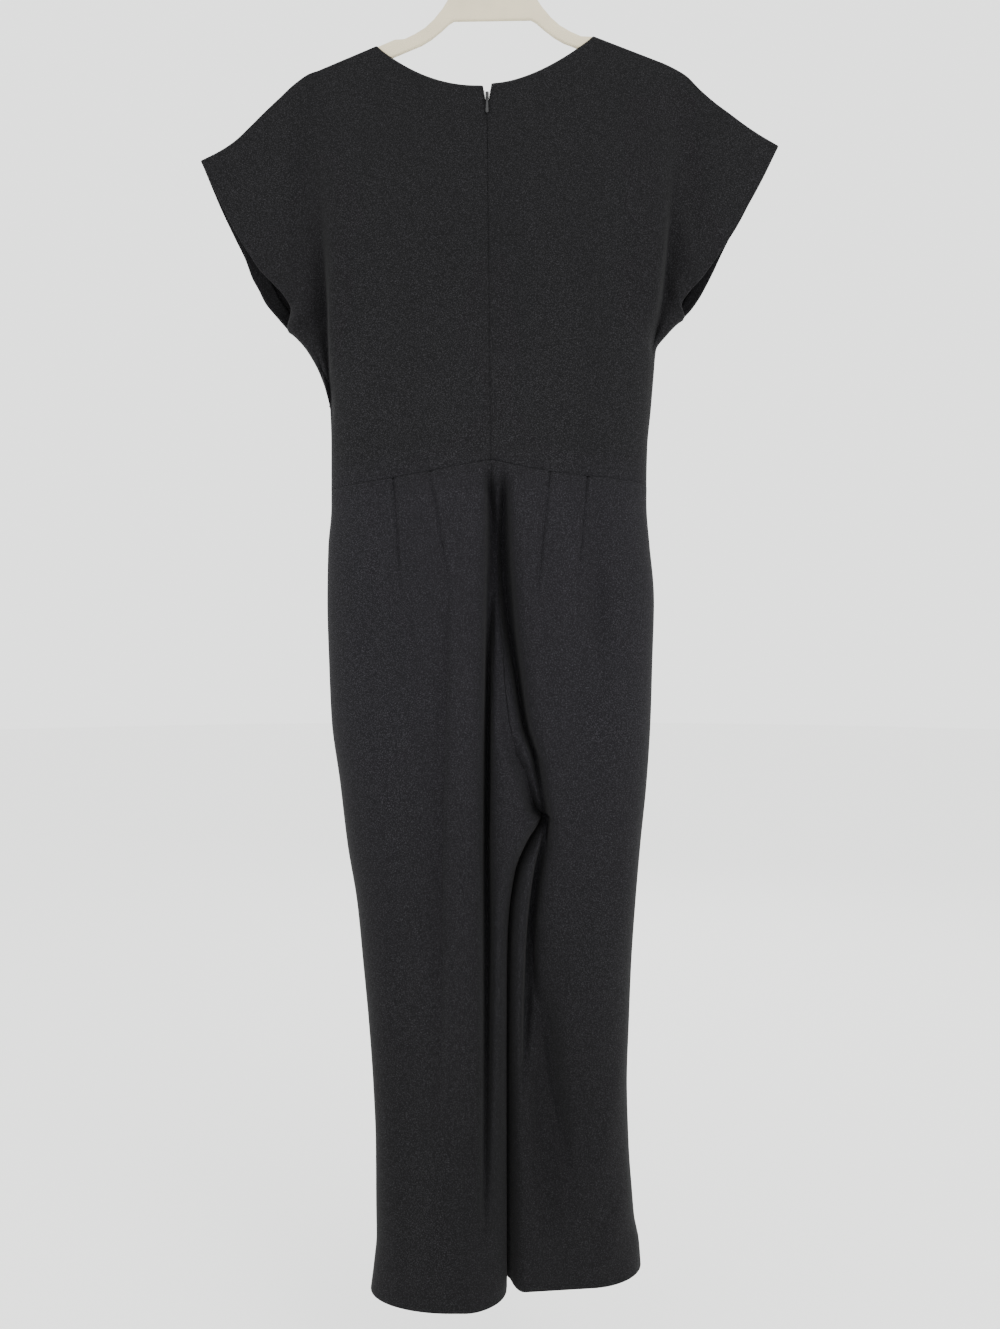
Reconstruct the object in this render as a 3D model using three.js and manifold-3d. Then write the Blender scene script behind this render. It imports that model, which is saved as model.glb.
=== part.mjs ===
// Short-sleeved black jumpsuit, hung on a flat plastic hanger with its zipped back in front.
// Lengths are millimetres. +Z is up, -Y the garment's back and +X the wearer's right.
// The origin is the inside top of the hook, where a rail carries the hanger.
// Heights are written as drops, the distance below the origin.
import * as THREE from 'three';
import { mergeVertices } from 'three/addons/utils/BufferGeometryUtils.js';
import Module from 'manifold-3d';

// Cloth
const WALL = 1.2;
const SEAM_GAP = 0.3;
const DRAPE_RADIUS = 3.6; // Middle of the cloth where it turns over the hanger's arms
const LEG_GAP = 2.6;

// Garment levels
const WAIST_DROP = 622;
const FRONT_WAIST_DROP = 638;
const WAIST_REACH = 183;
const CROTCH_DROP = 1018;
const HEM_DROP = 1555;

// Hanger
const HANGER_TILT = THREE.MathUtils.degToRad(0.9);
const HANGER_THICKNESS = 5.2;
const HANGER_BEVEL = 2.4;
const ARM_REACH = 200;
const ARM_SLOPE = 0.405;
const ARM_PEAK = -85.8; // Height at which the two shoulder lines would meet
const ARM_COVER = 0.9; // Top of an arm below the middle of the cloth over it
const WIRE = 3.8;
const HOOK_RADIUS = 19;
const BOSS_RADIUS = 5;
const BORE_RADIUS = WIRE / 2 + 0.4;
const BOSS_TOP = -52;
const WEB_TOP = -58;
const BORE_END = -72.3;
const STEM_END = -72;
const ARM_HEIGHT = 15.5;

// Zip
const ZIP_X = -4.2;
const SLIDER = { top: 204, bottom: 212, front: -20.9, back: -14.5, width: 4 };
const PIN = { y: -23.3, drop: 211.4, radius: 0.5 };
const PULL = { eye: 0.9, head: 1.6, headWidth: 1.6, length: 18, width: 3.4, thickness: 1 };
const EAR = { radius: 1.1, thickness: 0.6, height: 2.2 };
const TAPE = { width: 11, thickness: 1, below: 3, end: 616, gap: 0.45 };

const BLACK_CREPE = new THREE.MeshStandardMaterial({ color: 0x2a2a2d, roughness: 0.92, metalness: 0 });
const ZIP_TAPE = new THREE.MeshStandardMaterial({ color: 0x1b1b1d, roughness: 0.9, metalness: 0 });
const ZIP_METAL = new THREE.MeshStandardMaterial({ color: 0x4a4a4a, roughness: 0.4, metalness: 0.6 });
const BEIGE_PLASTIC = new THREE.MeshStandardMaterial({ color: 0xd3ccbf, roughness: 0.55, metalness: 0 });
const HOOK_STEEL = new THREE.MeshStandardMaterial({ color: 0xb9babc, roughness: 0.25, metalness: 1 });

// Outer edge of the body at each drop, from the underarm to the hem
const SIDE = [
  { drop: 450, left: -246, right: 220.5 },
  { drop: 470, left: -226, right: 201 },
  { drop: 488, left: -210, right: 188 },
  { drop: 520, left: -193, right: 185 },
  { drop: 556, left: -183, right: 182 },
  { drop: 600, left: -181.5, right: 178 },
  { drop: 640, left: -181.5, right: 177 },
  { drop: 705, left: -185, right: 180.5 },
  { drop: 775, left: -186, right: 185.5 },
  { drop: 845, left: -184, right: 183.5 },
  { drop: 910, left: -181, right: 181.5 },
  { drop: 980, left: -171.5, right: 177 },
  { drop: 1050, left: -163, right: 170 },
  { drop: 1116, left: -152, right: 164.5 },
  { drop: 1185, left: -145, right: 160 },
  { drop: 1253, left: -138.5, right: 157.5 },
  { drop: 1322, left: -133.5, right: 155.5 },
  { drop: 1390, left: -130.5, right: 157.5 },
  { drop: 1459, left: -130, right: 162 },
  { drop: 1493, left: -129.5, right: 164.5 },
  { drop: 1527, left: -132.5, right: 170 },
  { drop: 1555, left: -136, right: 172 },
];

// Waist seam of the back, arched from the centre out to each side seam
const WAIST_SEAM = [
  { out: 0, left: 622, right: 622 }, { out: 45, left: 630, right: 631 },
  { out: 88, left: 638, right: 638 }, { out: 132, left: 645.5, right: 641.5 },
  { out: 183, left: 650, right: 645 },
];

// Fold line over each upper arm, outside the hanger, as far as the sleeve's tip
const OVERARM = {
  left: [
    { out: 197.6, drop: 169.9 }, { out: 206.7, drop: 173 }, { out: 224, drop: 185 },
    { out: 241, drop: 201 }, { out: 258, drop: 217 }, { out: 275, drop: 234 },
    { out: 292, drop: 250 }, { out: 309.5, drop: 261.6 }, { out: 330, drop: 272 },
  ],
  right: [
    { out: 197.6, drop: 161.8 }, { out: 204.5, drop: 165 }, { out: 221.6, drop: 174.8 },
    { out: 239, drop: 192 }, { out: 256, drop: 206.7 }, { out: 273, drop: 219.3 },
    { out: 290, drop: 232 }, { out: 307, drop: 243.3 }, { out: 327, drop: 255 },
  ],
};

// Sleeve hems from the tip to the underarm
const SLEEVE_HEM = {
  left: [
    { drop: 272, back: -330, front: -330 }, { drop: 323, back: -306, front: -309 },
    { drop: 355, back: -292, front: -295 }, { drop: 380, back: -277, front: -285 },
    { drop: 402, back: -258, front: -275 }, { drop: 415, back: -240, front: -269.5 },
    { drop: 431, back: -228, front: -259 }, { drop: 445, back: -224, front: -248 },
    { drop: 464, back: -232, front: -232 },
  ],
  right: [
    { drop: 255, back: 327, front: 327 }, { drop: 290, back: 309, front: 310 },
    { drop: 323, back: 292, front: 292 }, { drop: 348, back: 279, front: 277.5 },
    { drop: 374, back: 263, front: 264.5 }, { drop: 396, back: 248, front: 254.5 },
    { drop: 411, back: 237, front: 247 }, { drop: 424, back: 225, front: 240 },
    { drop: 439, back: 216, front: 230 }, { drop: 450, back: 220.5, front: 220.5 },
  ],
};

// Fold lines of the bodice: a ridge and a valley beside each armhole, and the sleeve's own line
const BODICE_LINES = {
  left: [
    { drop: 170, ridge: -186, valley: -206, sleeve: -262 },
    { drop: 236, ridge: -185, valley: -204.5, sleeve: -262 },
    { drop: 316, ridge: -184, valley: -200, sleeve: -252 },
    { drop: 380, ridge: -184, valley: -197.3, sleeve: -240 },
    { drop: 402, ridge: -184, valley: -196, sleeve: -231 },
    { drop: 431, ridge: -184, valley: -194, sleeve: -218 },
    { drop: 445, ridge: -184, valley: -193.2, sleeve: -214 },
    { drop: 465, ridge: -184, valley: -192, sleeve: -211 },
    { drop: 488, ridge: -184, valley: -190.3, sleeve: -201 },
    { drop: 533, ridge: -181.5, valley: -186, sleeve: -188.3 },
    { drop: 562, ridge: -176, valley: -180, sleeve: -181.8 },
    { drop: 646, ridge: -171, valley: -176, sleeve: -179 },
  ],
  right: [
    { drop: 165, ridge: 200, valley: 219, sleeve: 262 },
    { drop: 225, ridge: 200, valley: 218, sleeve: 258 },
    { drop: 294, ridge: 199.5, valley: 213.6, sleeve: 250 },
    { drop: 362, ridge: 199, valley: 209, sleeve: 238 },
    { drop: 396, ridge: 196.5, valley: 206.5, sleeve: 229 },
    { drop: 431, ridge: 193, valley: 203.3, sleeve: 211 },
    { drop: 450, ridge: 189.5, valley: 199.5, sleeve: 207.5 },
    { drop: 471, ridge: 183, valley: 192.5, sleeve: 197 },
    { drop: 488, ridge: 177, valley: 183.8, sleeve: 186.3 },
    { drop: 520, ridge: 174, valley: 180.5, sleeve: 183.3 },
    { drop: 560, ridge: 171, valley: 177.5, sleeve: 180.4 },
    { drop: 639, ridge: 167, valley: 172.5, sleeve: 175.3 },
  ],
};

// How far each armhole valley closes towards the middle of the garment
const ARMHOLE_FOLD = {
  left: [
    { drop: 200, back: 0.05, front: 0.03 }, { drop: 323, back: 0.36, front: 0.25 },
    { drop: 402, back: 0.76, front: 0.5 }, { drop: 470, back: 0.9, front: 0.55 },
    { drop: 533, back: 0.55, front: 0.3 }, { drop: 578, back: 0, front: 0 },
  ],
  right: [
    { drop: 200, back: 0.04, front: 0.03 }, { drop: 294, back: 0.34, front: 0.25 },
    { drop: 362, back: 0.7, front: 0.5 }, { drop: 431, back: 0.88, front: 0.55 },
    { drop: 471, back: 0.6, front: 0.35 }, { drop: 500, back: 0, front: 0 },
  ],
};

// Widths of an armhole valley's two flanks, as shares of the room that they have
const ARMHOLE_FLANK = { ridgeShare: 0.62, outerShare: 0.8, least: 2, most: 22 };

// Half width of the open slot above the zip's slider
const NOTCH = [
  { drop: 196, half: 5.7 }, { drop: 211, half: 2.7 }, { drop: 217, half: SEAM_GAP / 2 },
];

// Neckline of each half: where it starts at the zip, where it ends on the shoulder, how it curves
const NECKLINE = {
  left: { back: { x: -9.9, drop: 197, curve: 2.1 }, shoulder: -131.3 },
  right: { back: { x: 1.5, drop: 194.5, curve: 1.66 }, shoulder: 117.7 },
  front: { x: -3, drop: 242, curve: 2.2 },
};

// Depth of each face in front of or behind the middle plane
const BODICE_DEPTH = [{ drop: 450, back: 40, front: 37 }, { drop: 640, back: 44, front: 41 }];
const TRUNK_DEPTH = [
  { drop: 640, back: 44, front: 41 }, { drop: 775, back: 50, front: 46 },
  { drop: 910, back: 53, front: 48 }, { drop: 1017, back: 52, front: 48 },
];
const LEG_DEPTH = {
  left: [
    { drop: 1017, back: 52, front: 48 }, { drop: 1116, back: 52, front: 46 },
    { drop: 1253, back: 51, front: 44 }, { drop: 1555, back: 52, front: 43 },
  ],
  right: [
    { drop: 1017, back: 52, front: 48 }, { drop: 1116, back: 48, front: 50 },
    { drop: 1253, back: 42, front: 52 }, { drop: 1390, back: 36, front: 53 },
    { drop: 1555, back: 30, front: 54 },
  ],
};

// How each bodice face fills out below the shoulders, and how much flatter the sleeves stay
const FILL = { length: 420, power: 1.6 };
const SLEEVE_FLAT = { start: 185, width: 70, share: 0.45 };

// How far from its side seam and its inner seam each face takes to round over
const BODICE_TURN = [{ drop: 450, side: 45 }, { drop: 640, side: 75 }];
const LEG_TURN = {
  left: [
    { drop: 622, side: 75, inner: 14 }, { drop: 775, side: 75, inner: 14 },
    { drop: 1018, side: 60, inner: 14 }, { drop: 1140, side: 58, inner: 12 },
    { drop: 1250, side: 62, inner: 18 }, { drop: 1390, side: 76, inner: 30 },
    { drop: 1555, side: 92, inner: 42 },
  ],
  right: [
    { drop: 622, side: 75, inner: 14 }, { drop: 775, side: 75, inner: 14 },
    { drop: 1018, side: 60, inner: 14 }, { drop: 1140, side: 55, inner: 12 },
    { drop: 1250, side: 50, inner: 14 }, { drop: 1390, side: 50, inner: 18 },
    { drop: 1555, side: 58, inner: 23 },
  ],
};

// Centre seams of the trousers, from the waist to the crotch
const CENTRE_SEAM = [
  { drop: 622, backX: 0, backY: -44, frontX: 0, frontY: 41 },
  { drop: 660, backX: 4, backY: -38, frontX: 1, frontY: 42 },
  { drop: 700, backX: 7, backY: -35, frontX: 2, frontY: 44 },
  { drop: 800, backX: 12.5, backY: -37, frontX: 5, frontY: 45 },
  { drop: 854, backX: 15, backY: -39, frontX: 9, frontY: 46 },
  { drop: 905, backX: 20, backY: -39, frontX: 16, frontY: 45 },
  { drop: 945, backX: 28, backY: -36, frontX: 26, frontY: 42 },
  { drop: 967, backX: 38, backY: -33, frontX: 36, frontY: 38 },
  { drop: 990, backX: 44, backY: -26, frontX: 45, frontY: 28 },
  { drop: 1008, backX: 50, backY: -14, frontX: 52, frontY: 14 },
  { drop: 1018, backX: 58, backY: -1.4, frontX: 58, frontY: 1.4 },
];

// Inner leg seams, from the crotch to the hem
const INSEAM = [
  { drop: 1018, x: 58, leftY: 0, rightY: 0 }, { drop: 1040, x: 42, leftY: -2, rightY: 2 },
  { drop: 1080, x: 27, leftY: -3, rightY: 5 }, { drop: 1140, x: 19.5, leftY: -3, rightY: 6 },
  { drop: 1190, x: 18, leftY: -3.5, rightY: 7 }, { drop: 1300, x: 17, leftY: -4, rightY: 9 },
  { drop: 1555, x: 17, leftY: -5, rightY: 12 },
];
const LEGS_PART = { start: 1000, length: 26 }; // Where the centre seam opens into the two legs

// Side seams lean towards the front or the back by this much at the hems
const SIDE_LEAN = { left: -5, right: 12 };

// Hem of each leg, from its inner to its outer end
const HEM = {
  left: { start: -17, end: -130, inner: 1554, outer: 1554 },
  right: { start: 20, end: 170, inner: 1550, outer: 1539 },
};

// Lines down each trouser leg: its two darts, run on as soft steps, and its deepest valley
const LEG_LINES = {
  left: [
    { drop: 622, outer: -109, inner: -70, valley: -3 }, { drop: 700, outer: -103, inner: -55, valley: 1 },
    { drop: 760, outer: -98, inner: -45, valley: 0 }, { drop: 850, outer: -96, inner: -48, valley: -2 },
    { drop: 1055, outer: -92, inner: -53, valley: -4 }, { drop: 1260, outer: -88, inner: -54, valley: -1 },
    { drop: 1420, outer: -84, inner: -54, valley: -8 }, { drop: 1555, outer: -86, inner: -54, valley: -16 },
  ],
  right: [
    { drop: 622, outer: 108, inner: 67, valley: 12 }, { drop: 700, outer: 101, inner: 60, valley: 14.5 },
    { drop: 800, outer: 92, inner: 50, valley: 23 }, { drop: 854, outer: 93, inner: 52, valley: 28 },
    { drop: 915, outer: 95, inner: 58, valley: 36.5 }, { drop: 952, outer: 104, inner: 70, valley: 49 },
    { drop: 1010, outer: 116, inner: 84, valley: 62 }, { drop: 1040, outer: 114, inner: 82, valley: 58 },
    { drop: 1087, outer: 111, inner: 78, valley: 52 }, { drop: 1134, outer: 108, inner: 74, valley: 46 },
    { drop: 1175, outer: 107, inner: 72, valley: 41.7 }, { drop: 1235, outer: 106, inner: 70, valley: 36 },
    { drop: 1300, outer: 108, inner: 72, valley: 33 }, { drop: 1425, outer: 112, inner: 78, valley: 34 },
    { drop: 1555, outer: 118, inner: 84, valley: 38 },
  ],
};

// Long folds of the trousers. Swell is the share of a fold's length where it is deepest,
// left and right are its half widths, and pinch is how steep its two walls are.
const BACK_FOLDS = [
  {
    name: 'left of the zip line', swell: 0.5, depth: 38, left: 10, right: 12, pinch: 0.5,
    path: [
      { drop: 618, x: -3 }, { drop: 690, x: 1.5 }, { drop: 820, x: -1 }, { drop: 1055, x: -4 },
      { drop: 1260, x: -1 }, { drop: 1420, x: -8 },
    ],
  },
  {
    name: 'right of the zip line', swell: 0.6, depth: 36, left: 7, right: 23, pinch: 0.4,
    path: [
      { drop: 618, x: 12 }, { drop: 700, x: 14.5 }, { drop: 800, x: 23 }, { drop: 854, x: 28 },
      { drop: 915, x: 36.5 }, { drop: 952, x: 49 }, { drop: 1030, x: 64 },
    ],
  },
  {
    name: 'right thigh, under the crotch', swell: 0.45, depth: 30, left: 9, right: 16, pinch: 0.4,
    path: [
      { drop: 1000, x: 62 }, { drop: 1040, x: 58 }, { drop: 1087, x: 52 }, { drop: 1134, x: 46 },
      { drop: 1175, x: 41.7 }, { drop: 1235, x: 36 }, { drop: 1290, x: 33 },
    ],
  },
  {
    name: 'step down the left leg', swell: 0.4, depth: 4, left: 20, right: 8, pinch: 0,
    path: [{ drop: 755, x: -45 }, { drop: 841, x: -48 }, { drop: 1105, x: -54 }, { drop: 1330, x: -54 }],
  },
  {
    name: 'left hip', swell: 0.5, depth: 4, left: 14, right: 14, pinch: 0,
    path: [{ drop: 732, x: -124 }, { drop: 820, x: -130 }, { drop: 908, x: -128 }],
  },
  {
    name: 'right hip', swell: 0.5, depth: 4, left: 12, right: 12, pinch: 0,
    path: [{ drop: 732, x: 117 }, { drop: 864, x: 119 }],
  },
  {
    name: 'right calf', swell: 0.4, depth: 7, left: 9, right: 15, pinch: 0,
    path: [
      { drop: 1150, x: 47 }, { drop: 1244, x: 63 }, { drop: 1320, x: 72 }, { drop: 1380, x: 84.5 },
      { drop: 1450, x: 88 },
    ],
  },
];
const FRONT_FOLDS = [
  {
    name: 'beside the front seam, left', swell: 0.45, depth: 20, left: 16, right: 12, pinch: 0,
    path: [{ drop: 640, x: -22 }, { drop: 800, x: -20 }, { drop: 1010, x: -8 }, { drop: 1330, x: -28 }],
  },
  {
    name: 'beside the front seam, right', swell: 0.5, depth: 18, left: 12, right: 18, pinch: 0,
    path: [{ drop: 650, x: 34 }, { drop: 850, x: 46 }, { drop: 1010, x: 86 }, { drop: 1300, x: 66 }],
  },
];

// Waist darts of the back, pressed towards the centre
const DARTS = [
  { top: { drop: 643.5, x: -107.4 }, tip: { drop: 761, x: -98.3 } },
  { top: { drop: 638.5, x: -66.5 }, tip: { drop: 755, x: -44.9 } },
  { top: { drop: 638.5, x: 65.2 }, tip: { drop: 768.6, x: 52 } },
  { top: { drop: 641, x: 106.6 }, tip: { drop: 800, x: 92 } },
];
const DART_DEPTH = 1.7;
const DART_HALF_WIDTH = 3.5;

// Folds fade out towards the seams, and where the waist and the hem shift the rows
const INNER_FADE = { start: 925, length: 80 };
const SEAM_SPREAD = { start: 1008, length: 28 };
const WAIST_FADE = 130;
const HEM_FADE = { start: 1400, length: 155 };
const PINCH_GAIN = 1.46; // A pinch of 1 all but closes a fold

// Half of the hanger's outline in the middle: the raised web's edge, then the neck's underside
const HANGER_TOP = [
  { out: 42, z: WEB_TOP }, { out: 46, z: -62 }, { out: 46, z: -75 }, { out: 51, z: -88 },
  { out: 57, z: -97.5 }, { out: 67, z: -109.6 }, { out: 77, z: -118.8 }, { out: 89, z: -126 },
  { out: 101, z: -131.5 },
];
const HANGER_UNDER = [
  { out: 117, z: -153.5 }, { out: 98.5, z: -146 }, { out: 81, z: -139 }, { out: 70, z: -132.5 },
  { out: 58, z: -123 }, { out: 50, z: -115.7 }, { out: 44, z: -112 },
];
const SHOULDER_START = 112;

// Rows and columns of the cloth's wall, as shares or as drops
const BODICE_ROWS = {
  back: [0, 0.5, 1.8, 3.6, 8, 15, 23, 45, 75, 105, 140, 175, 205, 235, 264, 290, 322, 360, 400, 440, 480],
  front: [0, 0.5, 1.8, 3.6, 8, 23, 60, 110, 160, 215, 264, 310, 370, 430, 480],
};
const BODICE_ROW_SPAN = 480;
const UNDERARM_SHARE = 264 / BODICE_ROW_SPAN;
const UNDERARM_BLEND = 8;
const BODICE_COLUMNS = {
  back: {
    centre: [0, 0.3, 0.6, 0.85, 0.9785, 0.989, 0.9967], neck: [0, 0.35, 0.7, 0.9],
    ridge: [0, 0.5], valley: [0, 0.25, 0.6], sleeve: [0, 0.4, 0.75, 0.93, 1],
  },
  front: {
    centre: [0, 0.5, 0.85, 0.9785, 0.989, 0.9967], neck: [0, 0.5],
    ridge: [0], valley: [0, 0.5], sleeve: [0, 0.5, 0.88, 1],
  },
};
const LEG_ROWS = {
  back: [
    622, 645, 672, 705, 740, 775, 815, 860, 895, 920, 940, 956, 970, 984, 997, 1009,
    1018, 1026, 1040, 1060, 1087, 1120, 1160, 1210, 1270, 1340, 1420, 1490, 1555,
  ],
  front: [622, 660, 720, 800, 870, 925, 960, 985, 1003, 1018, 1030, 1055, 1095, 1150, 1240, 1370, 1480, 1555],
};
const LEG_COLUMNS = {
  back: {
    side: [0, 0.05, 0.15, 0.35, 0.65, 0.93], outer: [0, 0.08, 0.5, 0.92],
    inner: [0, 0.1, 0.45, 0.7, 0.86], valley: [0, 0.25, 0.5, 0.8, 1],
  },
  front: {
    side: [0, 0.05, 0.2, 0.5], outer: [0, 0.5], inner: [0, 0.35, 0.7], valley: [0, 0.35, 0.7, 0.9, 1],
  },
};

const { clamp, lerp } = THREE.MathUtils;

function smooth(share) {
  const t = clamp(share, 0, 1);
  return t * t * (3 - 2 * t);
}

// Quarter circle: rises steeply from 0 and levels out at 1
function round(share) {
  const t = clamp(share, 0, 1);
  return Math.sqrt(1 - (1 - t) ** 2);
}

// Smooth line through one column of a table, with no overshoot, held level past its ends
function track(rows, column, by = 'drop') {
  const at = rows.map((row) => row[by]);
  const value = rows.map((row) => row[column]);
  const last = rows.length - 1;
  const rise = at.slice(1).map((next, i) => (value[i + 1] - value[i]) / (next - at[i]));
  const slope = value.map((_, i) => {
    if (i === 0 || i === last) return rise[i === 0 ? 0 : last - 1];
    const product = rise[i - 1] * rise[i];
    return product <= 0 ? 0 : (2 * product) / (rise[i - 1] + rise[i]);
  });
  return (place) => {
    if (place <= at[0]) return value[0];
    if (place >= at[last]) return value[last];
    const i = at.findIndex((_, k) => place <= at[k + 1]);
    const span = at[i + 1] - at[i];
    const t = (place - at[i]) / span;
    const start = (1 + 2 * t) * (1 - t) ** 2 * value[i] + t * (1 - t) ** 2 * span * slope[i];
    return start + t * t * (3 - 2 * t) * value[i + 1] + t * t * (t - 1) * span * slope[i + 1];
  };
}

const LEFT = { name: 'left', sign: -1 };
const RIGHT = { name: 'right', sign: 1 };
const BACK = { name: 'back', sign: -1 };
const FRONT = { name: 'front', sign: 1 };

const sideLine = { left: track(SIDE, 'left'), right: track(SIDE, 'right') };
const overarm = {
  left: track(OVERARM.left, 'drop', 'out'),
  right: track(OVERARM.right, 'drop', 'out'),
};
const waistSeam = {
  left: track(WAIST_SEAM, 'left', 'out'),
  right: track(WAIST_SEAM, 'right', 'out'),
};
const notchHalf = track(NOTCH, 'half');
const bodiceTurn = track(BODICE_TURN, 'side');
const legTurn = {
  left: { side: track(LEG_TURN.left, 'side'), inner: track(LEG_TURN.left, 'inner') },
  right: { side: track(LEG_TURN.right, 'side'), inner: track(LEG_TURN.right, 'inner') },
};

// Height of the line over the shoulders: along the tilted hanger, then down the overarm
function crestDrop(x) {
  const side = x < 0 ? LEFT : RIGHT;
  const out = Math.abs(x);
  if (out > OVERARM[side.name][0].out) return overarm[side.name](out);
  const [cos, sin] = [Math.cos(HANGER_TILT), Math.sin(HANGER_TILT)];
  const slope = -side.sign * ARM_SLOPE;
  return -(ARM_PEAK + x * (sin + slope * cos)) / (cos - slope * sin);
}

// Waist seam: an arch over the back, and nearly straight over the front
function waistDrop(face, x) {
  const side = x < 0 ? LEFT : RIGHT;
  const out = Math.abs(x);
  if (face === BACK) return waistSeam[side.name](out);
  return lerp(FRONT_WAIST_DROP, waistSeam[side.name](WAIST_REACH), (out / WAIST_REACH) ** 2);
}

// Centre line of the zip, which leans a little towards the wearer's left
function zipLine(drop) {
  return lerp(ZIP_X, 0, clamp((drop - 210) / (WAIST_DROP - 210), 0, 1));
}

function necklineDrop(side, face, x) {
  const end = NECKLINE[side.name].shoulder;
  const start = face === BACK ? NECKLINE[side.name].back : NECKLINE.front;
  const share = clamp((x - start.x) / (end - start.x), 0, 1);
  return lerp(start.drop, crestDrop(end), share ** start.curve);
}

function topDrop(side, face, x) {
  const inNeck = Math.abs(x) < Math.abs(NECKLINE[side.name].shoulder);
  return inNeck ? necklineDrop(side, face, x) : crestDrop(x);
}

// Distance of one bodice face from the middle plane, before its side seam and folds
function bodiceDepth(face, x, drop) {
  const below = drop - crestDrop(x);
  const full = track(BODICE_DEPTH, face.name)(drop);
  const fill = 1 - (1 - clamp(below / FILL.length, 0, 1)) ** FILL.power;
  const sleeve = 1 - SLEEVE_FLAT.share * smooth((Math.abs(x) - SLEEVE_FLAT.start) / SLEEVE_FLAT.width);
  return DRAPE_RADIUS * round(below / DRAPE_RADIUS) + (full - DRAPE_RADIUS) * fill * sleeve;
}

// One half of a bodice face, as lines that run from the top edge to the waist
function bodiceHalf(side, face) {
  const lines = BODICE_LINES[side.name];
  const hem = SLEEVE_HEM[side.name];
  const hemLine = track(hem, face.name);
  const tip = hem[0];
  const underarm = hem[hem.length - 1];
  const outerWaist = waistDrop(face, lines[lines.length - 1].sleeve);
  const neckX = NECKLINE[side.name].shoulder;
  const centreDrop = face === BACK ? NECKLINE[side.name].back.drop : NECKLINE.front.drop;

  function outerDrop(v) {
    if (v < UNDERARM_SHARE) return lerp(tip.drop, underarm.drop, v / UNDERARM_SHARE);
    return lerp(underarm.drop, outerWaist, (v - UNDERARM_SHARE) / (1 - UNDERARM_SHARE));
  }
  function outerX(v) {
    const drop = outerDrop(v);
    if (v < UNDERARM_SHARE) return hemLine(drop);
    const below = smooth((drop - underarm.drop) / UNDERARM_BLEND);
    return lerp(underarm[face.name], sideLine[side.name](drop), below);
  }
  function straight(topX, waistX) {
    return (v) => lerp(topX, waistX, v);
  }
  function folded(column) {
    const line = track(lines, column);
    const top = crestDrop(line(0));
    const waist = waistDrop(face, line(HEM_DROP));
    return (v) => line(lerp(top, waist, v));
  }
  function centreX(v) {
    if (face === FRONT) return lerp(NECKLINE.front.x, 0, v);
    const drop = lerp(centreDrop, WAIST_DROP, v);
    return zipLine(drop) + side.sign * notchHalf(drop);
  }
  const stations = {
    centre: centreX, neck: straight(neckX, neckX * 0.7), ridge: folded('ridge'),
    valley: folded('valley'), sleeve: folded('sleeve'), edge: outerX,
  };
  return { stations, outerDrop, outerX };
}

// Armhole fold: draws the face in towards the middle, steeply beside its ridge
function armholeFold(side, face, x, drop, outer) {
  const lines = BODICE_LINES[side.name];
  const ridge = track(lines, 'ridge')(drop);
  const valley = track(lines, 'valley')(drop);
  const out = side.sign * (x - valley);
  const room = Math.max(ARMHOLE_FLANK.least, side.sign * (outer - valley));
  const width = out < 0
    ? ARMHOLE_FLANK.ridgeShare * Math.abs(ridge - valley)
    : Math.min(ARMHOLE_FLANK.most, ARMHOLE_FLANK.outerShare * room);
  return track(ARMHOLE_FOLD[side.name], face.name)(drop) * Math.exp(-((out / width) ** 2));
}

function bodicePoint(side, face, half, from, to, share, v) {
  const names = [half.stations[from], half.stations[to]];
  const across = (row) => lerp(names[0](row), names[1](row), share);
  const x = across(v);
  const top = topDrop(side, face, across(0));
  const bottom = waistDrop(face, across(1)) - SEAM_GAP / 2;
  const order = Object.keys(half.stations);
  const reach = (order.indexOf(from) + share * (order.indexOf(to) - order.indexOf(from))) / 5;
  const edgeTop = topDrop(side, face, half.outerX(0));
  const edgeShift = half.outerDrop(v) - lerp(edgeTop, half.outerDrop(1), v);
  const drop = lerp(top, bottom, v) + reach ** 3 * edgeShift;
  const outer = half.outerX(v);
  const open = v < UNDERARM_SHARE ? Math.cos((Math.PI / 2) * (v / UNDERARM_SHARE) ** 2) ** 0.6 : 0;
  const rounding = open + (1 - open) * round(Math.abs(outer - x) / bodiceTurn(drop));
  const depth = bodiceDepth(face, x, drop) * rounding * (1 - armholeFold(side, face, x, drop, outer));
  return new THREE.Vector3(x, face.sign * (SEAM_GAP / 2 + depth), -drop);
}

// All the columns of a panel: each station's shares towards the next station
function columnsOf(table) {
  const names = Object.keys(table);
  return names.flatMap((from, i) => table[from].map((share) => ({ from, to: names[i + 1], share })));
}

function bodiceGrid(side, face) {
  const half = bodiceHalf(side, face);
  const columns = columnsOf(BODICE_COLUMNS[face.name]);
  return BODICE_ROWS[face.name].map((row) => columns.map(({ from, to = 'edge', share }) => (
    bodicePoint(side, face, half, from, to, share, row / BODICE_ROW_SPAN))));
}

// Envelope of a fold along its length: 0 at both ends, 1 where it swells
function envelope(share, swell) {
  if (share <= 0 || share >= 1) return 0;
  return Math.sin(Math.PI * share ** (Math.log(0.5) / Math.log(swell))) ** 0.8;
}

function foldShift(fold, x, drop) {
  const { path } = fold;
  const start = path[0].drop;
  const end = path[path.length - 1].drop;
  const strength = envelope((drop - start) / (end - start), fold.swell);
  const off = x - fold.line(drop);
  const width = off < 0 ? fold.left : fold.right;
  const q = off / width;
  const bell = Math.exp(-q * q);
  const dx = -PINCH_GAIN * fold.pinch * width * strength * q ** 3 * bell;
  return { dx, dy: fold.depth * strength * bell };
}
[...BACK_FOLDS, ...FRONT_FOLDS].forEach((fold) => { fold.line = track(fold.path, 'x'); });

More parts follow.
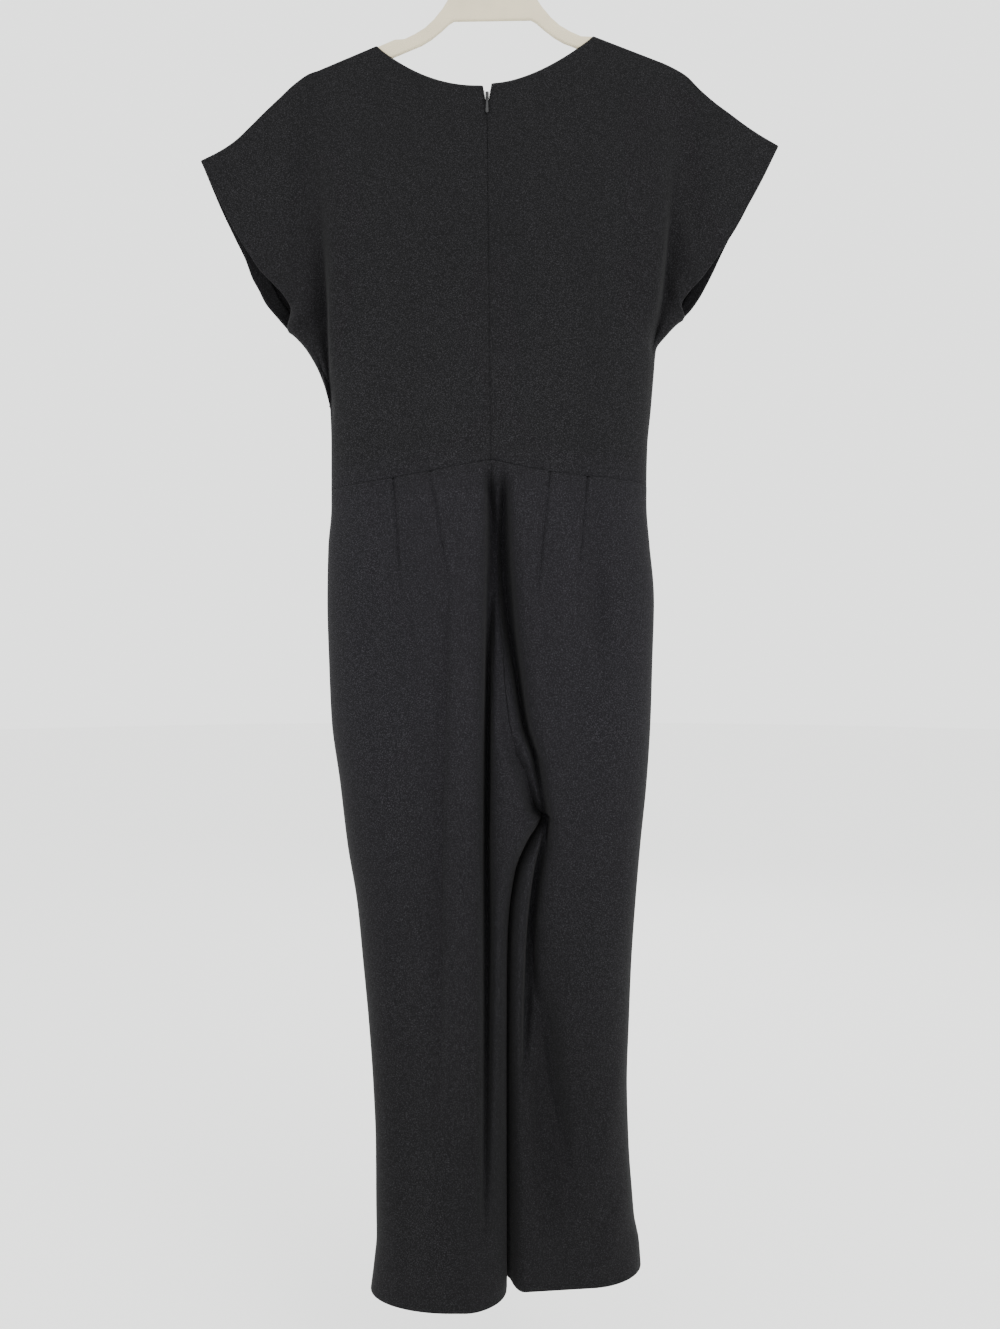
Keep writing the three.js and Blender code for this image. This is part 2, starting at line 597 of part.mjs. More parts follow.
function dartDepth(x, drop) {
  return DARTS.reduce((sum, { top, tip }) => {
    const share = (drop - top.drop) / (tip.drop - top.drop);
    if (share > 1) return sum;
    const off = Math.abs(x - lerp(top.x, tip.x, Math.max(0, share))) / DART_HALF_WIDTH;
    return sum + DART_DEPTH * Math.max(0, 1 - off) * Math.min(1, 3 * (1 - share));
  }, 0);
}

// Inner edge of a trouser panel: the centre seam down to the crotch, then the inner leg seam
function innerEdge(side, face, drop) {
  const gap = SEAM_GAP + (LEG_GAP - SEAM_GAP) * smooth((drop - LEGS_PART.start) / LEGS_PART.length);
  const half = side.sign * (gap / 2);
  if (drop <= CROTCH_DROP) {
    const [x, y] = [`${face.name}X`, `${face.name}Y`].map((column) => track(CENTRE_SEAM, column)(drop));
    return { x: x + half, y };
  }
  const y = track(INSEAM, `${side.name}Y`)(drop) + face.sign * (SEAM_GAP / 2);
  return { x: track(INSEAM, 'x')(drop) + half, y };
}

function legDepth(side, face, drop) {
  return track(drop < CROTCH_DROP ? TRUNK_DEPTH : LEG_DEPTH[side.name], face.name)(drop);
}

function sideSeamY(side, face, drop) {
  const lean = SIDE_LEAN[side.name] * smooth((drop - CROTCH_DROP) / (HEM_DROP - CROTCH_DROP));
  return lean + face.sign * (SEAM_GAP / 2);
}

function hemDrop(side, x) {
  const { start, end, inner, outer } = HEM[side.name];
  return lerp(inner, outer, clamp((x - start) / (end - start), 0, 1));
}

// Point of a trouser face at a place across it and a level of the row that it is on
function legPoint(side, face, across, level) {
  const inner = innerEdge(side, face, level);
  const outer = sideLine[side.name](level);
  const x = across(level, outer, inner.x);
  const seamShift = waistDrop(face, x) + SEAM_GAP / 2 - WAIST_DROP;
  const hemShift = hemDrop(side, x) - HEM_DROP;
  const atWaist = seamShift * (1 - smooth((level - WAIST_DROP) / WAIST_FADE));
  const atHem = hemShift * smooth((level - HEM_FADE.start) / HEM_FADE.length);
  const drop = level + atWaist + atHem;
  const near = face.sign * legDepth(side, face, level);
  const toSide = 1 - round(Math.abs(x - outer) / legTurn[side.name].side(level));
  const t = Math.abs(inner.x - x) / legTurn[side.name].inner(level);
  const toInner = 1 - lerp(smooth(t), round(t), smooth((level - SEAM_SPREAD.start) / SEAM_SPREAD.length));
  let y = near + (sideSeamY(side, face, level) - near) * toSide + (inner.y - near) * toInner;
  let shift = 0;
  const held = (1 - toSide) * (1 - toInner * smooth((level - INNER_FADE.start) / INNER_FADE.length));
  (face === BACK ? BACK_FOLDS : FRONT_FOLDS).forEach((fold) => {
    const { dx, dy } = foldShift(fold, x, level);
    y -= face.sign * dy * held;
    shift += dx * held;
  });
  if (face === BACK) y += dartDepth(x, drop);
  return new THREE.Vector3(x + shift, y, -drop);
}

function legGrid(side, face) {
  const lines = LEG_LINES[side.name];
  const line = {
    outer: track(lines, 'outer'), inner: track(lines, 'inner'), valley: track(lines, 'valley'),
  };
  function station(name, level, outer, inner) {
    if (name === 'side') return outer;
    return name === 'seam' ? inner : line[name](level);
  }
  const columns = columnsOf(LEG_COLUMNS[face.name]);
  return LEG_ROWS[face.name].map((level) => columns.map(({ from, to = 'seam', share }) => {
    const across = (at, outer, inner) => (
      lerp(station(from, at, outer, inner), station(to, at, outer, inner), share));
    return legPoint(side, face, across, level);
  }));
}

// Closed wall on a grid of middle points. flatten names the axes that a rim's normal leaves out,
// so that the two rims of a seam stay parallel.
function clothWall(grid, flatten) {
  const [rows, columns] = [grid.length, grid[0].length];
  const at = (i, j) => grid[clamp(i, 0, rows - 1)][clamp(j, 0, columns - 1)];
  const outer = [];
  const inner = [];
  grid.forEach((row, i) => row.forEach((point, j) => {
    const down = at(i + 1, j).clone().sub(at(i - 1, j));
    const over = at(i, j + 1).clone().sub(at(i, j - 1));
    const normal = down.cross(over).normalize();
    [...flatten(i, j, rows - 1, columns - 1)].forEach((axis) => { normal[axis] = 0; });
    normal.setLength(WALL / 2);
    outer.push(point.clone().add(normal));
    inner.push(point.clone().sub(normal));
  }));
  return closedBetween([...outer, ...inner], rows, columns);
}

// Closed body between two equal grids of points, one grid after the other in the list
function closedBetween(points, rows, columns) {
  const count = rows * columns;
  const index = [];
  const quad = (a, b, c, d) => index.push(a, b, c, a, c, d);
  for (let i = 0; i < rows - 1; i += 1) {
    for (let j = 0; j < columns - 1; j += 1) {
      const [a, b] = [i * columns + j, i * columns + j + 1];
      const [c, d] = [b + columns, a + columns];
      quad(a, d, c, b);
      quad(count + a, count + b, count + c, count + d);
    }
  }
  const border = [];
  for (let j = 0; j < columns - 1; j += 1) border.push(j);
  for (let i = 0; i < rows - 1; i += 1) border.push(i * columns + columns - 1);
  for (let j = columns - 1; j > 0; j -= 1) border.push((rows - 1) * columns + j);
  for (let i = rows - 1; i > 0; i -= 1) border.push(i * columns);
  border.forEach((from, k) => {
    const to = border[(k + 1) % border.length];
    quad(from, to, count + to, count + from);
  });
  return closedGeometry(points, index);
}

// Indexed geometry with its faces turned outwards
function closedGeometry(points, index) {
  let volume = 0;
  for (let k = 0; k < index.length; k += 3) {
    const [a, b, c] = [points[index[k]], points[index[k + 1]], points[index[k + 2]]];
    volume += a.dot(b.clone().cross(c));
  }
  if (volume < 0) index.reverse();
  const geometry = new THREE.BufferGeometry();
  const numbers = points.flatMap((p) => p.toArray());
  geometry.setAttribute('position', new THREE.Float32BufferAttribute(numbers, 3));
  geometry.setIndex(index);
  geometry.computeVertexNormals();
  return geometry;
}

const garment = new THREE.Group();

function add(name, geometry, material) {
  const mesh = new THREE.Mesh(geometry, material);
  mesh.name = name;
  garment.add(mesh);
  return mesh;
}

// Back bodice, one panel each side of the zip
[LEFT, RIGHT].forEach((side) => {
  const grid = bodiceGrid(side, BACK);
  const neck = Math.abs(NECKLINE[side.name].shoulder) - 0.01;
  const flatten = (i, j, lastRow, lastColumn) => {
    const onShoulder = i === 0 && Math.abs(grid[i][j].x) >= neck;
    const onSide = j === lastColumn && BODICE_ROWS.back[i] / BODICE_ROW_SPAN >= UNDERARM_SHARE;
    return `${j === 0 ? 'x' : ''}${onShoulder || onSide ? 'y' : ''}${i === lastRow ? 'z' : ''}`;
  };
  add(`back_bodice_${side.name}`, clothWall(grid, flatten), BLACK_CREPE);
});

// Front bodice, one panel from sleeve to sleeve
function frontBodice() {
  const [left, right] = [bodiceGrid(LEFT, FRONT), bodiceGrid(RIGHT, FRONT)];
  const grid = left.map((row, i) => [...[...row].reverse(), ...right[i].slice(1)]);
  const flatten = (i, j, lastRow, lastColumn) => {
    const { x } = grid[i][j];
    const neck = Math.abs(x < 0 ? NECKLINE.left.shoulder : NECKLINE.right.shoulder) - 0.01;
    const onShoulder = i === 0 && Math.abs(x) >= neck;
    const atSide = j === 0 || j === lastColumn;
    const onSide = atSide && BODICE_ROWS.front[i] / BODICE_ROW_SPAN >= UNDERARM_SHARE;
    return `${onShoulder || onSide ? 'y' : ''}${i === lastRow ? 'z' : ''}`;
  };
  add('front_bodice', clothWall(grid, flatten), BLACK_CREPE);
}
frontBodice();

// Trousers, a back and a front panel on each leg
[BACK, FRONT].forEach((face) => [LEFT, RIGHT].forEach((side) => {
  const flatten = (i, j, lastRow, lastColumn) => {
    const level = LEG_ROWS[face.name][i];
    const centre = j === lastColumn ? (level <= CROTCH_DROP ? 'x' : 'y') : '';
    return `${centre}${j === 0 ? 'y' : ''}${i === 0 ? 'z' : ''}`;
  };
  add(`${face.name}_leg_${side.name}`, clothWall(legGrid(side, face), flatten), BLACK_CREPE);
}));

// Solids for cutting and joining
const wasm = await Module();
wasm.setup();

function solid(geometry) {
  const bare = geometry.clone();
  bare.deleteAttribute('normal');
  bare.deleteAttribute('uv');
  const merged = mergeVertices(bare, 1e-4);
  const vertProperties = new Float32Array(merged.getAttribute('position').array);
  const triVerts = new Uint32Array(merged.getIndex().array);
  return new wasm.Manifold(new wasm.Mesh({ numProp: 3, vertProperties, triVerts }));
}

function geometryOf(manifold) {
  const { vertProperties, triVerts } = manifold.getMesh();
  const geometry = new THREE.BufferGeometry();
  geometry.setAttribute('position', new THREE.Float32BufferAttribute(vertProperties, 3));
  geometry.setIndex(new THREE.Uint32BufferAttribute(triVerts, 1));
  geometry.computeVertexNormals();
  return geometry;
}

// Flat outline in X and Z, given its thickness in Y and rounded at the edges
function plate(shape, thickness, bevel, y = 0) {
  const geometry = new THREE.ExtrudeGeometry(shape, {
    depth: thickness - 2 * bevel, bevelEnabled: bevel > 0, bevelSize: bevel, bevelThickness: bevel,
    bevelOffset: -bevel, bevelSegments: 2, curveSegments: 8,
  });
  return geometry.translate(0, 0, bevel - thickness / 2).rotateX(Math.PI / 2).translate(0, y, 0);
}

// Zip tapes, sewn inside the two back panels
function zipTape(side) {
  const start = NECKLINE[side.name].back.drop + TAPE.below;
  const drops = [start, 204, 211, 217, 240, 300, 380, 460, 540, TAPE.end];
  const inset = (WALL + TAPE.thickness) / 2 + TAPE.gap;
  const grid = drops.map((drop) => [0, 0.5, 1].map((share) => {
    const x = zipLine(drop) + side.sign * (notchHalf(drop) + share * TAPE.width);
    return new THREE.Vector3(x, -bodiceDepth(BACK, x, drop) - SEAM_GAP / 2 + inset, -drop);
  }));
  const points = grid.flat();
  const thick = [...points, ...points.map((p) => p.clone().setY(p.y + TAPE.thickness))];
  return closedBetween(thick, grid.length, grid[0].length);
}

add('zip_tape_left', zipTape(LEFT), ZIP_TAPE);
add('zip_tape_right', zipTape(RIGHT), ZIP_TAPE);

// Slider body with two ears that carry the pull's pin
function zipSlider() {
  const { top, bottom, front, back, width } = SLIDER;
  const shield = new THREE.Shape();
  shield.moveTo(-width / 2, -top - 1);
  shield.quadraticCurveTo(-width / 2, -top, 0, -top);
  shield.quadraticCurveTo(width / 2, -top, width / 2, -top - 1);
  shield.lineTo(width / 2 - 0.5, -bottom);
  shield.lineTo(-width / 2 + 0.5, -bottom);
  shield.closePath();
  let body = solid(plate(shield, back - front, 0.4, (front + back) / 2));
  [-1, 1].forEach((sign) => {
    const ear = new THREE.CylinderGeometry(EAR.radius, EAR.radius, EAR.thickness, 12).rotateZ(Math.PI / 2);
    const lug = new THREE.BoxGeometry(EAR.thickness, front - PIN.y + 1, EAR.height);
    const x = sign * (PULL.headWidth / 2 + EAR.thickness);
    body = body.add(solid(ear.translate(x, PIN.y, -PIN.drop)));
    body = body.add(solid(lug.translate(x, (PIN.y + front) / 2 + 0.5, -PIN.drop)));
  });
  const pinLength = PULL.headWidth + 2 * EAR.thickness + 0.4;
  const pin = new THREE.CylinderGeometry(PIN.radius, PIN.radius, pinLength, 10);
  body = body.add(solid(pin.rotateZ(Math.PI / 2).translate(0, PIN.y, -PIN.drop)));
  return geometryOf(body).translate(ZIP_X, 0, 0);
}
add('zip_slider', zipSlider(), ZIP_METAL);

// Drop-shaped pull with an eye round the pin
function zipPull() {
  const ring = new THREE.Shape();
  ring.absarc(0, 0, PULL.head, 0, 2 * Math.PI);
  const eye = new THREE.Path();
  eye.absarc(0, 0, PULL.eye, 0, 2 * Math.PI, true);
  ring.holes.push(eye);
  const across = { depth: PULL.headWidth, bevelEnabled: false, curveSegments: 8 };
  const head = new THREE.ExtrudeGeometry(ring, across);
  head.translate(0, 0, -PULL.headWidth / 2).rotateY(Math.PI / 2);
  const tab = new THREE.Shape();
  const half = PULL.width / 2;
  tab.moveTo(-PULL.headWidth / 2, -1.25);
  tab.lineTo(-half, half - PULL.length);
  tab.absarc(0, half - PULL.length, half, Math.PI, 2 * Math.PI);
  tab.lineTo(PULL.headWidth / 2, -1.25);
  tab.closePath();
  const joined = solid(head).add(solid(plate(tab, PULL.thickness, 0.3)));
  return geometryOf(joined).translate(ZIP_X, PIN.y, -PIN.drop);
}
add('zip_pull', zipPull(), ZIP_METAL);

// Flat hanger with a raised web in the middle
function armTop(out) {
  return ARM_PEAK - ARM_SLOPE * out - ARM_COVER;
}

function hangerOutline() {
  const tipRadius = ARM_HEIGHT / 2 / Math.hypot(1, ARM_SLOPE) * 0.98;
  const middle = { out: ARM_REACH - tipRadius, z: armTop(ARM_REACH - tipRadius) - ARM_HEIGHT / 2 };
  const tilt = Math.atan(ARM_SLOPE);
  const half = [...HANGER_TOP, { out: SHOULDER_START, z: armTop(SHOULDER_START) }];
  for (let k = 0; k <= 6; k += 1) {
    const angle = Math.PI / 2 - tilt - (k * Math.PI) / 6;
    half.push({ out: middle.out + tipRadius * Math.cos(angle), z: middle.z + tipRadius * Math.sin(angle) });
  }
  half.push(...HANGER_UNDER);
  const right = half.map(({ out, z }) => new THREE.Vector2(out, z));
  const left = [...half].reverse().map(({ out, z }) => new THREE.Vector2(-out, z));
  return new THREE.Shape([...right, ...left]);
}

function hangerGeometry() {
  const [bossHeight, boreHeight] = [26, 40];
  const boss = new THREE.CylinderGeometry(BOSS_RADIUS, BOSS_RADIUS, bossHeight, 16).rotateX(Math.PI / 2);
  const bore = new THREE.CylinderGeometry(BORE_RADIUS, BORE_RADIUS, boreHeight, 16).rotateX(Math.PI / 2);
  let body = solid(plate(hangerOutline(), HANGER_THICKNESS, HANGER_BEVEL));
  body = body.add(solid(boss.translate(0, 0, BOSS_TOP - bossHeight / 2)));
  body = body.subtract(solid(bore.translate(0, 0, BORE_END + boreHeight / 2)));
  return geometryOf(body).rotateY(-HANGER_TILT);
}
add('hanger', hangerGeometry(), BEIGE_PLASTIC);

// Question-mark hook of round wire, moulded into the boss, with a ball tip
function hookGeometry() {
  const radius = HOOK_RADIUS + WIRE / 2;
  const arc = Array.from({ length: 14 }, (_, k) => {
    const angle = THREE.MathUtils.degToRad(lerp(-50, 200, k / 13));
    return new THREE.Vector3(radius * Math.cos(angle), 0, -HOOK_RADIUS + radius * Math.sin(angle));
  });
  const stem = [[0, STEM_END], [0, -60], [0, -50], [4, -42.5]].map(([x, z]) => new THREE.Vector3(x, 0, z));
  const route = new THREE.CatmullRomCurve3([...stem, ...arc], false, 'centripetal');
  const section = new THREE.Shape();
  section.absarc(0, 0, WIRE / 2, 0, 2 * Math.PI);
  const wire = new THREE.ExtrudeGeometry(section, { steps: 36, extrudePath: route, curveSegments: 4 });
  const ball = new THREE.SphereGeometry(WIRE / 2 + 0.7, 12, 8).translate(...arc[13].toArray());
  return geometryOf(solid(wire).add(solid(ball))).rotateY(-HANGER_TILT);
}
add('hanger_hook', hookGeometry(), HOOK_STEEL);

export default garment;
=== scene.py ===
"""Black crepe jumpsuit on a flat hanger: its cloth, zip, hanger, light and camera.

Sizes in the tables are millimetres. A drop is the distance below the hook's inside top, which is
the frame's origin. Meshes are written in metres.
"""
import math

import bpy
import numpy as np
from bpy.props import FloatProperty, FloatVectorProperty, IntProperty, PointerProperty
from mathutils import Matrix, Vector


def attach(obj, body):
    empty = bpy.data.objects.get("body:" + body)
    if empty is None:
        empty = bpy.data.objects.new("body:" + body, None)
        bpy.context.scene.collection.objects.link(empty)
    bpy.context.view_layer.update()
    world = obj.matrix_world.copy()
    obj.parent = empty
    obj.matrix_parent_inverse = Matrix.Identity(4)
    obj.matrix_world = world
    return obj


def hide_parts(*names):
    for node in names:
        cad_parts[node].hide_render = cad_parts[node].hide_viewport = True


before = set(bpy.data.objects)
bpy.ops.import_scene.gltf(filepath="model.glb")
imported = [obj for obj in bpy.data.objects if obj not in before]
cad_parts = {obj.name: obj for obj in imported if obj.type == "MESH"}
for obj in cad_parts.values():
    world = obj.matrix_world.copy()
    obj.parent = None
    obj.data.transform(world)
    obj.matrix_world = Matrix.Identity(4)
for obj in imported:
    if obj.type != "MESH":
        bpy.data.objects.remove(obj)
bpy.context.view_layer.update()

bl_info = {
    "name": "Hung jumpsuit",
    "version": (1, 0, 0),
    "blender": (4, 5, 0),
    "location": "3D View > Sidebar > Jumpsuit",
    "description": "Builds a black crepe jumpsuit that hangs on a flat plastic hanger",
    "category": "Add Mesh",
}

MM = 0.001
SEAM_GAP = 0.3
DRAPE_RADIUS = 3.6
WAIST_DROP = 622
FRONT_WAIST_DROP = 638
WAIST_REACH = 183
CROTCH_DROP = 1018
HEM_DROP = 1555
LEG_GAP = 2.6
HANGER_TILT = math.radians(0.9)
ARM_SLOPE = 0.405
ARM_PEAK = -85.8
ARM_REACH = 200
ARM_HEIGHT = 15.5
ARM_COVER = 0.9
SHOULDER_START = 112
HANGER_THICKNESS = 5.2
HANGER_BEVEL = 2.4
HANGER_TOP = [
    (42, -58), (46, -62), (46, -75), (51, -88), (57, -97.5), (67, -109.6), (77, -118.8),
    (89, -126), (101, -131.5),
]
HANGER_UNDER = [
    (117, -153.5), (98.5, -146), (81, -139), (70, -132.5), (58, -123), (50, -115.7), (44, -112),
]
BOSS_RADIUS = 5
BOSS_TOP = -52
BOSS_HEIGHT = 26
HOOK_WIRE = 3.8
HOOK_TIP_RADIUS = HOOK_WIRE / 2 + 0.7
HOOK_RADIUS = 19
STEM_END = -72
ZIP_X = -4.2
NOTCH_FOOT = 210
ZIP_TAPE = {"below": 3, "end": 614, "width": 11, "thickness": 0.8, "behind": 2}
ZIP_COIL = {
    "start": 200, "pitch": 1.3, "radius": 0.75, "wire": 0.42, "inset": -0.1, "open": 1.8,
    "closed": 3.2, "closing": 8,
}
BACK, FRONT = "back", "front"
LEFT, RIGHT = "left", "right"
SIDES = (LEFT, RIGHT)
SIGN = {BACK: -1, FRONT: 1, LEFT: -1, RIGHT: 1}


def table(header, *rows):
    """Named columns of a short table."""
    return dict(zip(header.split(), np.array(rows, float).T))


def by_side(header, left, right):
    """A table for each side of the garment."""
    return {LEFT: table(header, *left), RIGHT: table(header, *right)}


def track(rows, column, by="drop"):
    """Smooth line through one column of a table, with no overshoot, level past its ends."""
    at, value = rows[by], rows[column]
    steps = np.diff(value) / np.diff(at)
    before, after = steps[:-1], steps[1:]
    total = np.where(before + after == 0, 1, before + after)
    middle = np.where(before * after <= 0, 0, 2 * (before * after) / total)
    slope = np.concatenate([steps[:1], middle, steps[-1:]])

    def line(place):
        place = np.clip(place, at[0], at[-1])
        i = np.clip(np.searchsorted(at, place) - 1, 0, len(steps) - 1)
        span = at[i + 1] - at[i]
        t = (place - at[i]) / span
        start = (1 + 2 * t) * (1 - t) ** 2 * value[i] + t * (1 - t) ** 2 * span * slope[i]
        end = t * t * (3 - 2 * t) * value[i + 1] + t * t * (t - 1) * span * slope[i + 1]
        return start + end

    return line


def lerp(a, b, t):
    return a + (b - a) * t


def smooth(share):
    t = np.clip(share, 0, 1)
    return t * t * (3 - 2 * t)


def rise(place, start, length):
    """Goes smoothly from 0 at a start to 1 a length further on."""
    return smooth((place - start) / length)


def between(at, s):
    """Value at a station s, from the values stacked at the whole stations."""
    i = np.clip(np.floor(s).astype(int), 0, len(at) - 2)
    low = np.take_along_axis(at, i[None], 0)[0]
    high = np.take_along_axis(at, i[None] + 1, 0)[0]
    return lerp(low, high, s - i)


def quarter(share):
    """Quarter circle: rises steeply from 0 and levels out at 1."""
    t = np.clip(share, 0, 1)
    return np.sqrt(1 - (1 - t) ** 2)


SIDE = table(
    "drop left right",
    (450, -246, 220.5), (470, -226, 201), (488, -210, 188), (520, -193, 185), (556, -183, 182),
    (600, -181.5, 178), (640, -181.5, 177), (705, -185, 180.5), (775, -186, 185.5),
    (845, -184, 183.5), (910, -181, 181.5), (980, -171.5, 177), (1050, -163, 170),
    (1116, -152, 164.5), (1185, -145, 160), (1253, -138.5, 157.5), (1322, -133.5, 155.5),
    (1390, -130.5, 157.5), (1459, -130, 162), (1493, -129.5, 164.5), (1527, -132.5, 170),
    (1555, -136, 172),
)
WAIST_SEAM = table(
    "out left right",
    (0, 622, 622), (45, 630, 631), (88, 638, 638), (132, 645.5, 641.5), (183, 650, 645),
)
OVERARM = by_side(
    "out drop",
    [
        (197.6, 169.9), (206.7, 173), (224, 185), (241, 201), (258, 217), (275, 234), (292, 250),
        (309.5, 261.6), (330, 272)
    ], [
        (197.6, 161.8), (204.5, 165), (221.6, 174.8), (239, 192), (256, 206.7), (273, 219.3),
        (290, 232), (307, 243.3), (327, 255)
    ])
SLEEVE_HEM = by_side(
    "drop back front",
    [
        (272, -330, -330), (323, -305, -309), (355, -289, -294), (380, -274, -282),
        (402, -259.5, -274), (415, -247, -267), (431, -233, -259), (445, -226, -248),
        (464, -232, -232)
    ], [
        (255, 327, 327), (290, 309, 310), (323, 292, 292), (348, 279, 277.5), (374, 263, 264.5),
        (396, 248, 254.5), (411, 237, 247), (424, 225, 240), (439, 216, 230), (450, 220.5, 220.5)
    ])
BODICE_LINES = by_side(
    "drop ridge valley sleeve",
    [
        (170, -186, -206, -262), (236, -183, -202, -262), (316, -180, -196, -252),
        (380, -178.5, -191.5, -240), (402, -178, -190, -231), (431, -178, -188, -218),
        (445, -178, -187.2, -214), (465, -178.5, -187, -211), (488, -179, -186, -201),
        (533, -178.5, -183.5, -188.3), (562, -175, -179.5, -181.8), (646, -171, -176, -179)
    ], [
        (165, 200, 219, 262), (225, 198, 215.5, 258), (294, 195.5, 208.5, 250),
        (362, 193, 202.5, 238), (396, 190.5, 200, 229), (431, 186.5, 196.5, 211),
        (450, 183.5, 193.5, 207.5), (471, 179.5, 189, 197), (488, 176, 182.8, 186.3),
        (520, 174, 180.5, 183.3), (560, 171, 177.5, 180.4), (639, 167, 172.5, 175.3)
    ])
ARMHOLE_FOLD = by_side(
    "drop back front",
    [
        (200, 0.05, 0.03), (323, 0.36, 0.25), (402, 0.76, 0.5), (470, 0.9, 0.55),
        (533, 0.55, 0.3), (578, 0, 0)
    ], [
        (200, 0.04, 0.03), (294, 0.34, 0.25), (362, 0.7, 0.5), (431, 0.88, 0.55),
        (471, 0.6, 0.35), (500, 0, 0)
    ])
NOTCH = table("drop half", (194, 4.8), (NOTCH_FOOT, 2.5), (217, SEAM_GAP / 2))
NECKLINE = {
    (LEFT, BACK): (-9.5, 194.7, 2.1), (RIGHT, BACK): (1.1, 192.2, 1.66),
    (LEFT, FRONT): (-3, 242, 2.2), (RIGHT, FRONT): (-3, 242, 2.2),
}
NECK_POINT = {LEFT: -131.3, RIGHT: 117.7}
BODICE_DEPTH = table("drop back front", (450, 40, 37), (640, 44, 41))
TRUNK_DEPTH = table(
    "drop back front", (640, 44, 41), (775, 50, 46), (910, 53, 48), (1017, 52, 48))
LEG_DEPTH = by_side(
    "drop back front",
    [
        (1017, 52, 48), (1116, 52, 46), (1253, 51, 44), (1555, 52, 43)
    ], [
        (1017, 52, 48), (1116, 48, 50), (1253, 42, 52), (1390, 36, 53), (1555, 30, 54)
    ])
BODICE_TURN = table("drop side", (450, 45), (640, 75))
LEG_TURN = by_side(
    "drop side inner",
    [
        (622, 75, 14), (775, 75, 14), (1018, 60, 14), (1140, 58, 12), (1250, 62, 18),
        (1390, 76, 30), (1555, 92, 42)
    ], [
        (622, 75, 14), (775, 75, 14), (1018, 60, 14), (1140, 55, 12), (1250, 50, 14),
        (1390, 50, 18), (1555, 58, 23)
    ])
CENTRE_SEAM = table(
    "drop backX backY frontX frontY",
    (622, 0, -44, 0, 41), (660, 4, -38, 1, 42), (700, 7, -35, 2, 44), (800, 12.5, -37, 5, 45),
    (854, 15, -39, 9, 46), (905, 20, -39, 16, 45), (945, 28, -36, 26, 42), (967, 38, -33, 36, 38),
    (990, 44, -26, 45, 28), (1008, 50, -14, 52, 14), (1018, 58, -1.4, 58, 1.4),
)
INSEAM = table(
    "drop x left right",
    (1018, 58, 0, 0), (1040, 41, -2, 2), (1080, 24.5, -3, 5), (1140, 17, -3, 6),
    (1190, 15.5, -3.5, 7), (1300, 14.5, -4, 9), (1555, 15, -5, 12),
)
HEM = {LEFT: (-17, -130, 1554, 1554), RIGHT: (20, 170, 1545.5, 1536.5)}
SIDE_LEAN = {LEFT: -5, RIGHT: 12}

# The left leg's inner edge laps over the right one: in plan both follow the same S
LAP = {"reach": 4.5, "half": 5, "fade": 16}
LAP_START = {"start": 1008, "length": 22}
LEG_LINES = by_side(
    "drop outer inner valley",
    [
        (622, -109, -70, -3), (700, -103, -55, 1), (760, -98, -45, 0), (850, -96, -48, -2),
        (1055, -92, -53, -4), (1260, -88, -54, -1), (1420, -84, -54, -8), (1555, -86, -54, -16)
    ], [
        (622, 108, 67, 12), (700, 101, 60, 14.5), (800, 92, 50, 23), (854, 93, 52, 28),
        (915, 95, 58, 36.5), (952, 104, 70, 49), (1010, 116, 84, 62), (1040, 114, 82, 58),
        (1087, 111, 78, 52), (1134, 108, 74, 46), (1175, 107, 72, 41.7), (1235, 106, 70, 36),
        (1300, 108, 72, 33), (1425, 112, 78, 34), (1555, 118, 84, 38)
    ])


def folds(*rows):
    """Long folds: swell, depth, width left and right, pinch and path. A negative depth rises."""
    return [{
        "swell": swell, "depth": depth, "left": left, "right": right, "pinch": pinch,
        "start": path[0][0], "end": path[-1][0], "line": track(table("drop x", *path), "x"),
    } for swell, depth, left, right, pinch, *path in rows]


